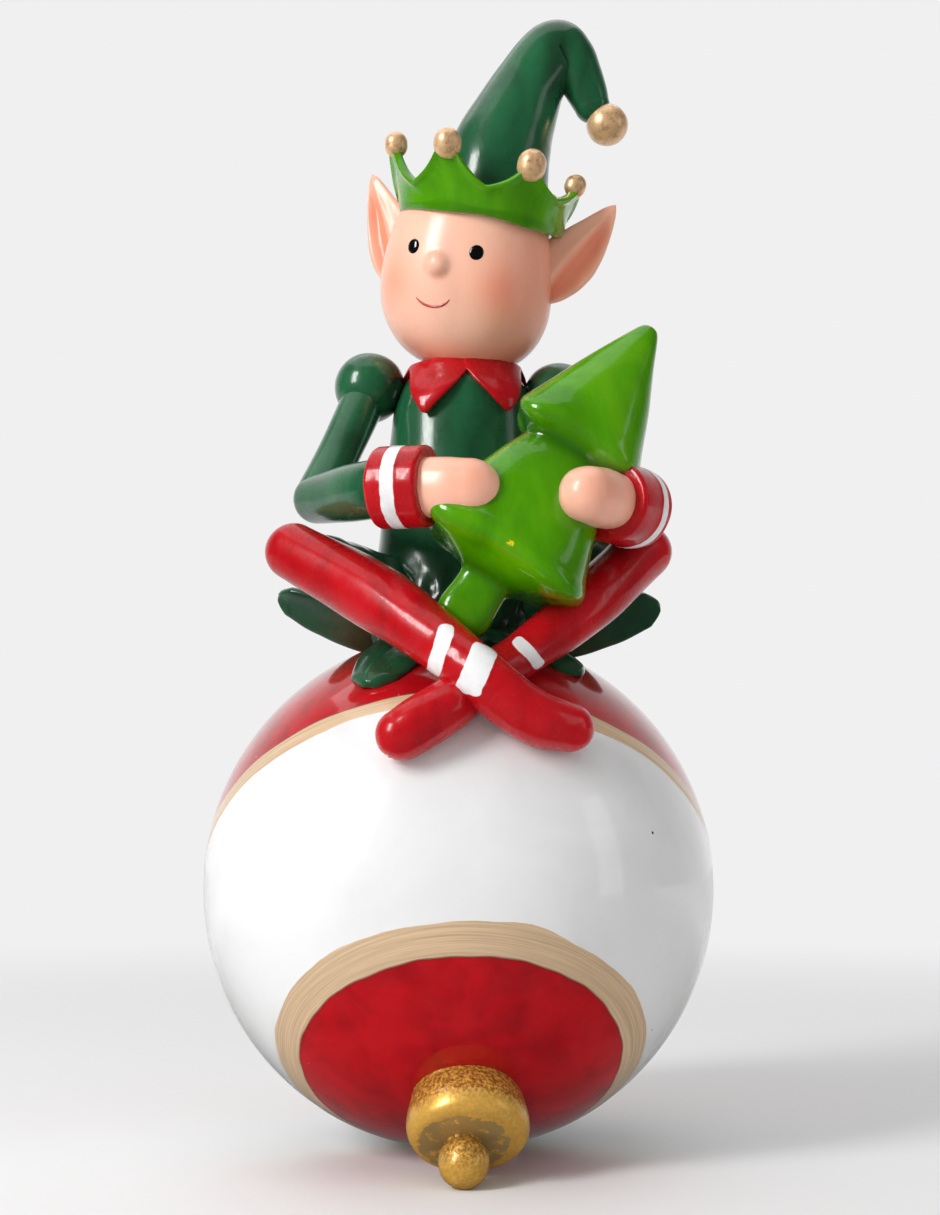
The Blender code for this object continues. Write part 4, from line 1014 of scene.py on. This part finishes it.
def build_head():
    """Head: a superellipsoid in its own frame, with a button nose and full cheeks pushed out.

    The nose adds 1.65 exp(-(d/2.25)^4) and each cheek 0.35 exp(-(d/6)^2), d being the distance, and
    the width grows by 0.045 exp(-((z+5)/8)^2) at the jaw.
    """
    half = size("head_half_height")
    lift = -np.cos(np.linspace(0, math.pi, 170))
    z = np.where(lift < 0, lift * half, lift * half * HEAD_TOP)[:, None]
    share, f = head_share(z), around(220)
    jowl = 1 + 0.045 * bump(z + 5.0, 8.0)
    local = np.stack([size("head_half_width") * share * jowl * np.cos(f) + jaw_shift(z),
                      size("head_half_depth") * share * np.sin(f), z + 0 * f], axis=-1)
    cheeks = [np.linalg.norm(local - on_face(side * CHEEK[0], CHEEK[1]), axis=-1)
              for side, _ in SIDES]
    push = 1.65 * bump(np.linalg.norm(local - on_face(*NOSE), axis=-1), 2.25, 4)
    push = push + sum(0.35 * bump(cheek, 6.0) for cheek in cheeks)
    local = pushed(local, push)
    blush = sum(0.42 * bump(cheek, 5.4) for cheek in cheeks)
    # Painted shade: warmer and darker under the chin, on the head's right side and just below the
    # nose. The blush on the cheeks is the figure's own paint.
    under = 0.42 * ease(-local[..., 2], half * 0.55, half) + 0.40 * ease(local[..., 0], 7.0, 16.5)
    under_nose_shade = 0.22 * bump(np.linalg.norm(local - on_face(0.1, -0.6, 0.8), axis=-1), 1.6)
    make_piece("head", hand_cast(from_head(local), 0.10, 14.0), skin(),
               tint=np.clip(blush + under + under_nose_shade, 0, 1))
    a, b = np.linspace(0, 1, 14)[:, None], around(40)
    for side, label in SIDES:
        x, z = side * EYE[0] + EYE_SIZE[0] * a * np.cos(b), EYE[1] + EYE_SIZE[1] * a * np.sin(b)
        front, back = on_face(x, z, 0.50 * np.sqrt(1 - a ** 2) - 0.02), on_face(x, z, -0.5)[::-1]
        make_piece(f"{label}_eye", from_head(np.vstack([front, back[1:]])),
                   plain_enamel("black_enamel", "#0b0909"))
    arc = smooth_path(MOUTH, 8)
    width = 0.26 * np.sqrt(np.clip(1 - np.linspace(-1, 1, len(arc)) ** 4, 0.04, 1))
    places = from_head(on_face(arc[:, 0], arc[:, 1], 0.02))
    make_piece("mouth", limb(np.column_stack([places, width]), 2, 16, (0, -1, 0)),
               plain_enamel("mouth_enamel", "#b52a12"))


EAR_WIDTH, EAR_THICKNESS = 12.9, 2.6
# Shares of the ear's length from root to tip, and of its width there
EAR_OUTLINE = ((0, 0.12, 0.28, 0.46, 0.64, 0.82, 0.95, 1.0),
               (0.74, 0.93, 1.0, 0.93, 0.72, 0.44, 0.20, 0.0))


def build_ears():
    """Ears: sections across a line from root to tip, with a ridge that crosses and a hollow."""
    length, half_width = size("ear_length"), size("head_half_width")
    t = np.concatenate([[0.0], np.linspace(0.004, 0.985, 90), [0.995, 1.0]])
    body = smoothed(np.interp(t, *EAR_OUTLINE), (1, 2, 3, 2, 1), 6)[:, None]
    t = t[:, None]
    q, s = np.cos(around(96)), np.sin(around(96))
    ridge = 0.35 - 1.75 * t + 1.4 * t ** 2
    swell = ease(body, 0.0, 0.5) * ease(1 - t, 0.0, 0.35) * ease(s, 0.0, 0.35)
    bowl = np.sin(np.clip((q - ridge) / (0.96 - ridge), 0, 1) * math.pi) ** 1.6 * swell
    crest, groove = bump(q - ridge, 0.20) * swell, bump(q - ridge - 0.28, 0.10) * swell
    thick = EAR_THICKNESS * (0.42 + 0.58 * body) * np.minimum(1, body * 4)
    rise = thick / 2 * np.sign(s) * np.abs(s) ** 0.7 + 0.35 * crest - 1.7 * bowl - 0.15 * groove
    for (side, label), tip_rise in zip(SIDES, (1.9, 0.0)):
        root = np.array([side * half_width * 0.80, 0.5, -0.5])
        tip = np.array([side * (half_width + length * 0.48), 8.5, length * 0.90 + tip_rise])
        along = unit(tip - root)
        facing = np.array([side * 0.30, -1.0, 0.10])
        front = unit(facing - along * (along @ facing))
        across = np.cross(along, front) * side
        arch = np.sin(math.pi * t)
        centre = root + (tip - root) * t + across * (0.10 * EAR_WIDTH * arch) - front * (1.2 * arch)
        local = (centre[:, None] + across * (EAR_WIDTH / 2 * body * q)[..., None]
                 + front * rise[..., None])
        # A warm wash over each ear, with painted shade in its hollow and groove.
        make_piece(f"{label}_ear", hand_cast(from_head(local), 0.08, 9.0), skin(),
                   tint=np.clip(0.22 + 0.55 * bowl + 0.25 * groove, 0, 1))


# The crown's points: their heights, flare and wall, and the first one's angle
CROWN_TIPS = np.array([11.8, 13.0, 10.0, 8.2, 5.4, 3.8, 4.4])
CROWN_FLARE = 3.5
CROWN_WALL = 1.9
CROWN_FIRST = math.radians(-57.5)
# Each tip ball's radius, and the outward and upward offsets of its foot and head from the point
TIP_BALLS = ((2.35, (0.0, 0.8), (0.1, 1.5)), (2.85, (0.0, -0.5), (0.1, 0.1)),
             (2.95, (0.0, 0.3), (0.1, 1.1)), (2.25, (0.0, 0.9), (0.1, 1.4)),
             *[(2.3, (0.0, 0.9), (0.1, 1.3))] * 3)


def crown_place(angle, radius, height):
    """Places on the crown in the head's frame."""
    rise = size("head_half_height") * 0.643 + height + 0 * angle
    return from_head(np.stack([1.4 + radius * np.sin(angle), 0.6 - radius * np.cos(angle) * 0.97,
                               rise], axis=-1))


def build_crown():
    """Crown: a flaring band whose top rises to seven points, valley + (tip - valley) p."""
    steps = 56
    tips = len(CROWN_TIPS)
    place = np.arange(tips * steps) / steps
    angle = CROWN_FIRST + place * (2 * math.pi / tips)
    nearest = CROWN_TIPS[np.round(place).astype(int) % tips]
    from_tip = np.abs(place - np.round(place)) * 2
    point = np.clip(1 - np.maximum(from_tip - 0.16, 0.0) / 0.80, 0.0, 1.0)
    point = 0.5 * point + 0.5 * point ** 3
    front = 0.5 * (np.cos(2 * math.pi * (place - 1.5) / tips) + 1)
    valley = 2.2 + 3.4 * ease(front, 0.25, 0.6)
    top = valley + (nearest - valley) * point
    radius = size("crown_radius")
    lean = CROWN_FLARE * top / CROWN_TIPS[0]
    rim = -1.4 * ease(np.sin(angle), 0.3, 1.0)
    section = [(radius - 4.8, 0.5 + rim), (radius - 0.9, -0.25 + rim), (radius + 0.05, 0.5 + rim),
               (radius + lean * 0.25, top * 0.40), (radius + lean * 0.58, top * 0.70),
               (radius + lean * 0.86 + 0.25, top - 1.1), (radius + lean + 0.2, top - 0.3),
               (radius + lean - CROWN_WALL * 0.5, top + 0.15),
               (radius + lean - CROWN_WALL + 0.1, top - 0.3),
               (radius + lean * 0.30 - CROWN_WALL, top * 0.45), (radius - 2.2, 1.0)]
    loops = np.stack([crown_place(angle, r, h) for r, h in section], axis=1)
    grid = hand_cast(closed_path(loops, 4), 0.10, 7.0, True)
    # Painted shade under the lower rim and on the inside of the band.
    tint = np.zeros(grid.shape[1])
    tint[4:10], tint[30:] = 0.35, 0.7
    make_piece("crown", grid, bright_green(), wrap_rows=True, tint=tint)
    for number, (height, (thick, *offsets)) in enumerate(zip(CROWN_TIPS, TIP_BALLS)):
        spot = np.float64(CROWN_FIRST + 2 * math.pi * number / tips)
        ring = radius + CROWN_FLARE * height / CROWN_TIPS[0] - CROWN_WALL / 2
        foot, head = (crown_place(spot, ring + out, height + up) for out, up in offsets)
        stations = [(*place, thick) for place in (foot, (foot + head) / 2, head)]
        grid = limb(stations, 3, 56, (0, 1, 0))
        make_piece(f"crown_tip_{number + 1}", hand_cast(grid, 0.06, 4.0), warm_gold())


# The hat's path: x and z from its foot in millimetres and its radius, up to the bend and down again
HAT_PATH = ((0.0, 0.0, 11.8), (0.6, 6.0, 11.3), (1.5, 11.0, 10.8), (2.9, 15.6, 10.1),
            (4.9, 20.5, 9.0), (8.0, 27.3, 7.6), (10.9, 31.9, 7.2), (13.9, 34.4, 7.0),
            (16.4, 33.0, 5.9), (18.5, 29.5, 5.0), (20.1, 25.8, 4.4), (21.2, 22.8, 3.8))
HAT_PATH_HEIGHT = 37.2


def build_hat():
    """Hat: a tapering limb along HAT_PATH that bends over, its foot over the head, and the ball.

    The foot is the top of the head's own form, 3% larger. Where sections cross inside the bend, the
    step along the path is below 0, and the limb is made up to 25% thinner there, out of sight.
    """
    base = from_head((3.8, 0.0, size("head_half_height") * 0.78))
    stretch = size("hat_height") / HAT_PATH_HEIGHT
    x, z, radius = np.array(HAT_PATH).T
    stations = np.column_stack([base[0] + x, base[1] + 0 * x, base[2] + z * stretch, radius])
    grid = limb(stations, 12, 110, (0, 1, 0))
    tangent = unit(np.gradient(grid.mean(axis=1), axis=0))
    along = (np.gradient(grid, axis=0) * tangent[:, None]).sum(axis=-1)
    folded = ease(0.12 - along, 0.0, 0.16)
    grid[..., 1] = base[1] + (grid[..., 1] - base[1]) * (1 - 0.25 * folded)
    grid = hand_cast(grid, 0.14, 10.0)
    beside, above = grid[..., 0] - base[0], grid[..., 2] - base[2]
    shadow = ease(beside, 9.0, 13.0) * ease(17.5 - beside, 0.0, 3.0) * ease(above, 18, 26)
    make_piece("hat", grid, dark_green(), tint=shadow * 0.5)
    rise = np.linspace(0.66, 1.0, 40)[:, None] * size("head_half_height") * HEAD_TOP
    share, f = head_share(rise) * 1.03, around(120)
    share[[0, -1]] = 0.0
    local = np.stack([size("head_half_width") * share * np.cos(f),
                      size("head_half_depth") * share * np.sin(f), rise * 1.02 + 0 * f], axis=-1)
    grid = hand_cast(from_head(local), 0.1, 9.0)
    # The hat's foot is darkened as painted shade inside the crown.
    make_piece("hat_foot", grid, dark_green(), tint=0.4)
    centre = base + np.array([24.4, 0.0, 18.6 * stretch])
    grid = ball(centre, size("hat_ball_radius") * 1.03, 44, 72)
    make_piece("hat_ball", hand_cast(grid, 0.04, 5.0), warm_gold())


# The photograph's focal length and height in pixels, the camera's place in metres and its tilt
FOCAL_PIXELS, FRAME_PIXELS = 1800.0, 1215.0
SENSOR_WIDTH = 36.0
CAMERA_PLACE = (0.00234, -0.37412, 0.06644)
CAMERA_TILT = 96.5
LAMP_TARGET = np.array([0.0, 0.0, 0.11])
# Each lamp: its direction and distance from the target, its width and height, and its power
LAMPS = {"key_box": ((-0.80, -0.66, 0.50), 1.0, 0.27, 0.52, 7.3),
         "side_box": ((0.90, -0.36, 0.20), 0.9, 0.20, 0.60, 0.35),
         "top_box": ((-0.1, 0.1, 1.0), 1.1, 1.3, 1.3, 4.6)}


def paper(backdrop):
    """Matt paper that the camera sees fade to the backdrop's colour 0.16 to 0.62 m from the middle.

    Glossy rays see a plain glow that grows from front to back, which keeps veils off the gloss.
    """
    material, tree, shader, place = begin_material("matt_background_paper")
    feed(shader, {"Base Color": linear_colour("#eeeeee"), "Roughness": 0.6,
                  "Specular IOR Level": 0.15})
    reach = add(tree, "ShaderNodeVectorMath", {0: place}, output=1, operation="LENGTH")
    far = remap(tree, reach, 0.16, 0.62, interpolation_type="SMOOTHSTEP")
    camera = add(tree, "ShaderNodeLightPath", output="Is Camera Ray")
    plain = add(tree, "ShaderNodeEmission", {"Color": backdrop, "Strength": 1.0})
    seen = add(tree, "ShaderNodeMixShader",
               {0: maths(tree, "MULTIPLY", far, camera), 1: shader.outputs[0], 2: plain})
    depth = add(tree, "ShaderNodeSeparateXYZ", {0: place}, output=1)
    level = remap(tree, depth, -0.04, 0.22, 0.04, 0.8)
    dim = add(tree, "ShaderNodeEmission", {"Color": backdrop, "Strength": level})
    both = add(tree, "ShaderNodeMixShader",
               {0: camera.node.outputs["Is Glossy Ray"], 1: seen, 2: dim})
    feed(tree.nodes["Material Output"], {"Surface": both})
    return material


def surroundings(backdrop):
    """A world of the backdrop's colour to the camera, and a dim room to the object.

    Glossy rays see it dark in front and bright behind.
    """
    world = bpy.data.worlds.new("studio_light")
    world.use_nodes = True
    sky = world.node_tree
    camera = add(sky, "ShaderNodeLightPath", output="Is Camera Ray")
    toward = add(sky, "ShaderNodeSeparateXYZ", {0: add(sky, "ShaderNodeTexCoord")}, output=1)
    behind = remap(sky, toward, 0.25, 0.85, 0.03, 0.85)
    dim = mix_numbers(sky, camera.node.outputs["Is Glossy Ray"], 0.45, behind)
    feed(sky.nodes["Background"],
         {"Strength": mix_numbers(sky, camera, dim, 1.0),
          "Color": mix_colours(sky, camera, (1.0, 1.0, 1.0, 1.0), backdrop)})
    return world


def build_stage():
    """A pale floor that fades into the backdrop's colour, soft boxes, dim surroundings, camera."""
    scene = bpy.context.scene
    backdrop = linear_colour("#f0f0f0")
    t = np.linspace(-1, 1, 41)
    x, y = np.meshgrid(*[np.sign(t) * np.abs(t) ** 2 * 3.0] * 2)
    index = np.arange(x.size).reshape(x.shape)
    quads = np.stack([index[:-1, :-1], index[:-1, 1:], index[1:, 1:], index[1:, :-1]], axis=-1)
    mesh = bpy.data.meshes.new("paper_floor")
    mesh.from_pydata(np.stack([x, y, 0 * x], axis=-1).reshape(-1, 3), [],
                     quads.reshape(-1, 4).tolist())
    mesh.materials.append(paper(backdrop))
    floor = bpy.data.objects.new("paper_floor", mesh)
    scene.collection.objects.link(floor)
    scene.world = surroundings(backdrop)
    for name, (direction, distance, wide, high, energy) in LAMPS.items():
        lamp = bpy.data.lights.new(name, "AREA")
        lamp.shape, lamp.size, lamp.size_y, lamp.energy = "RECTANGLE", wide, high, energy
        box = bpy.data.objects.new(name, lamp)
        away = unit(np.array(direction))
        side = (1.0, 0.0, 0.0) if abs(away[2]) > 0.95 else unit(np.cross((0.0, 0.0, 1.0), away))
        matrix = np.eye(4)
        matrix[:3] = np.column_stack([side, np.cross(away, side), away,
                                      LAMP_TARGET + away * distance])
        box.matrix_world = matrix.T.tolist()
        scene.collection.objects.link(box)
    lens = bpy.data.cameras.new("camera")
    lens.sensor_width = SENSOR_WIDTH
    lens.lens = SENSOR_WIDTH * FOCAL_PIXELS / FRAME_PIXELS
    camera = bpy.data.objects.new("camera", lens)
    camera.location = CAMERA_PLACE
    camera.rotation_euler = (math.radians(CAMERA_TILT), 0.0, 0.0)
    scene.collection.objects.link(camera)
    scene.camera = camera
    scene.view_settings.view_transform = "Standard"


# Operators, panel and registration


class ElfOperator:
    """What the operators share: each calls its builders in order."""
    bl_options = {"REGISTER", "UNDO"}
    builders = ()

    def execute(self, context):
        for build in self.builders:
            build()
        return {"FINISHED"}


class ELF_OT_bauble(ElfOperator, bpy.types.Operator):
    """Build the painted bauble"""
    bl_idname = "elf.bauble"
    bl_label = "Bauble"
    builders = (build_bauble,)


class ELF_OT_cap(ElfOperator, bpy.types.Operator):
    """Build the bauble's cap and knob"""
    bl_idname = "elf.cap"
    bl_label = "Cap and knob"
    builders = (build_cap,)


class ELF_OT_tunic(ElfOperator, bpy.types.Operator):
    """Build the tunic"""
    bl_idname = "elf.tunic"
    bl_label = "Tunic"
    builders = (build_tunic,)


class ELF_OT_skirt_leaves(ElfOperator, bpy.types.Operator):
    """Build the leaves round the tunic's hem"""
    bl_idname = "elf.skirt_leaves"
    bl_label = "Hem leaves"
    builders = (build_skirt_leaves,)


class ELF_OT_collar(ElfOperator, bpy.types.Operator):
    """Build the pointed collar"""
    bl_idname = "elf.collar"
    bl_label = "Collar"
    builders = (build_collar,)


class ELF_OT_tree(ElfOperator, bpy.types.Operator):
    """Build the small tree"""
    bl_idname = "elf.tree"
    bl_label = "Tree"
    builders = (build_tree,)


class ELF_OT_arms(ElfOperator, bpy.types.Operator):
    """Build both arms with their cuffs and hands"""
    bl_idname = "elf.arms"
    bl_label = "Arms, cuffs and hands"
    builders = (build_arms, build_cuffs, build_hands)


class ELF_OT_legs(ElfOperator, bpy.types.Operator):
    """Build the crossed legs"""
    bl_idname = "elf.legs"
    bl_label = "Legs"
    builders = (build_legs,)


class ELF_OT_head(ElfOperator, bpy.types.Operator):
    """Build the head with its face and ears"""
    bl_idname = "elf.head"
    bl_label = "Head and ears"
    builders = (build_head, build_ears)


class ELF_OT_crown(ElfOperator, bpy.types.Operator):
    """Build the crown and its gold tips"""
    bl_idname = "elf.crown"
    bl_label = "Crown"
    builders = (build_crown,)


class ELF_OT_hat(ElfOperator, bpy.types.Operator):
    """Build the drooping hat and its ball"""
    bl_idname = "elf.hat"
    bl_label = "Hat"
    builders = (build_hat,)


class ELF_OT_stage(ElfOperator, bpy.types.Operator):
    """Set up the paper floor, the lamps, the surroundings and the camera"""
    bl_idname = "elf.stage"
    bl_label = "Stage"
    builders = (build_stage,)


STEPS = (ELF_OT_bauble, ELF_OT_cap, ELF_OT_tunic, ELF_OT_skirt_leaves, ELF_OT_collar, ELF_OT_tree,
         ELF_OT_arms, ELF_OT_legs, ELF_OT_head, ELF_OT_crown, ELF_OT_hat, ELF_OT_stage)


class ELF_PT_panel(bpy.types.Panel):
    """The figurine's steps, sizes and paints"""
    bl_idname = "ELF_PT_panel"
    bl_label = "Elf figurine"
    bl_space_type = "VIEW_3D"
    bl_region_type = "UI"
    bl_category = "Elf figurine"

    def draw(self, context):
        for step in STEPS:
            self.layout.operator(step.bl_idname)
        for settings in (context.scene.elf_sizes, context.scene.elf_paints):
            box = self.layout.box()
            for name in type(settings).__annotations__:
                box.prop(settings, name)


CLASSES = (ElfSizes, ElfPaints, *STEPS, ELF_PT_panel)


def register():
    """Registers the classes and hangs the settings on the scene."""
    for item in CLASSES:
        bpy.utils.register_class(item)
    bpy.types.Scene.elf_sizes = bpy.props.PointerProperty(type=ElfSizes)
    bpy.types.Scene.elf_paints = bpy.props.PointerProperty(type=ElfPaints)


def unregister():
    """Takes the settings and the classes away again."""
    del bpy.types.Scene.elf_paints
    del bpy.types.Scene.elf_sizes
    for item in reversed(CLASSES):
        bpy.utils.unregister_class(item)


def main():
    """Registers the settings and operators, then builds every piece in order."""
    register()
    for step in STEPS:
        group, name = step.bl_idname.split(".")
        getattr(getattr(bpy.ops, group), name)()


if __name__ == "__main__":
    main()
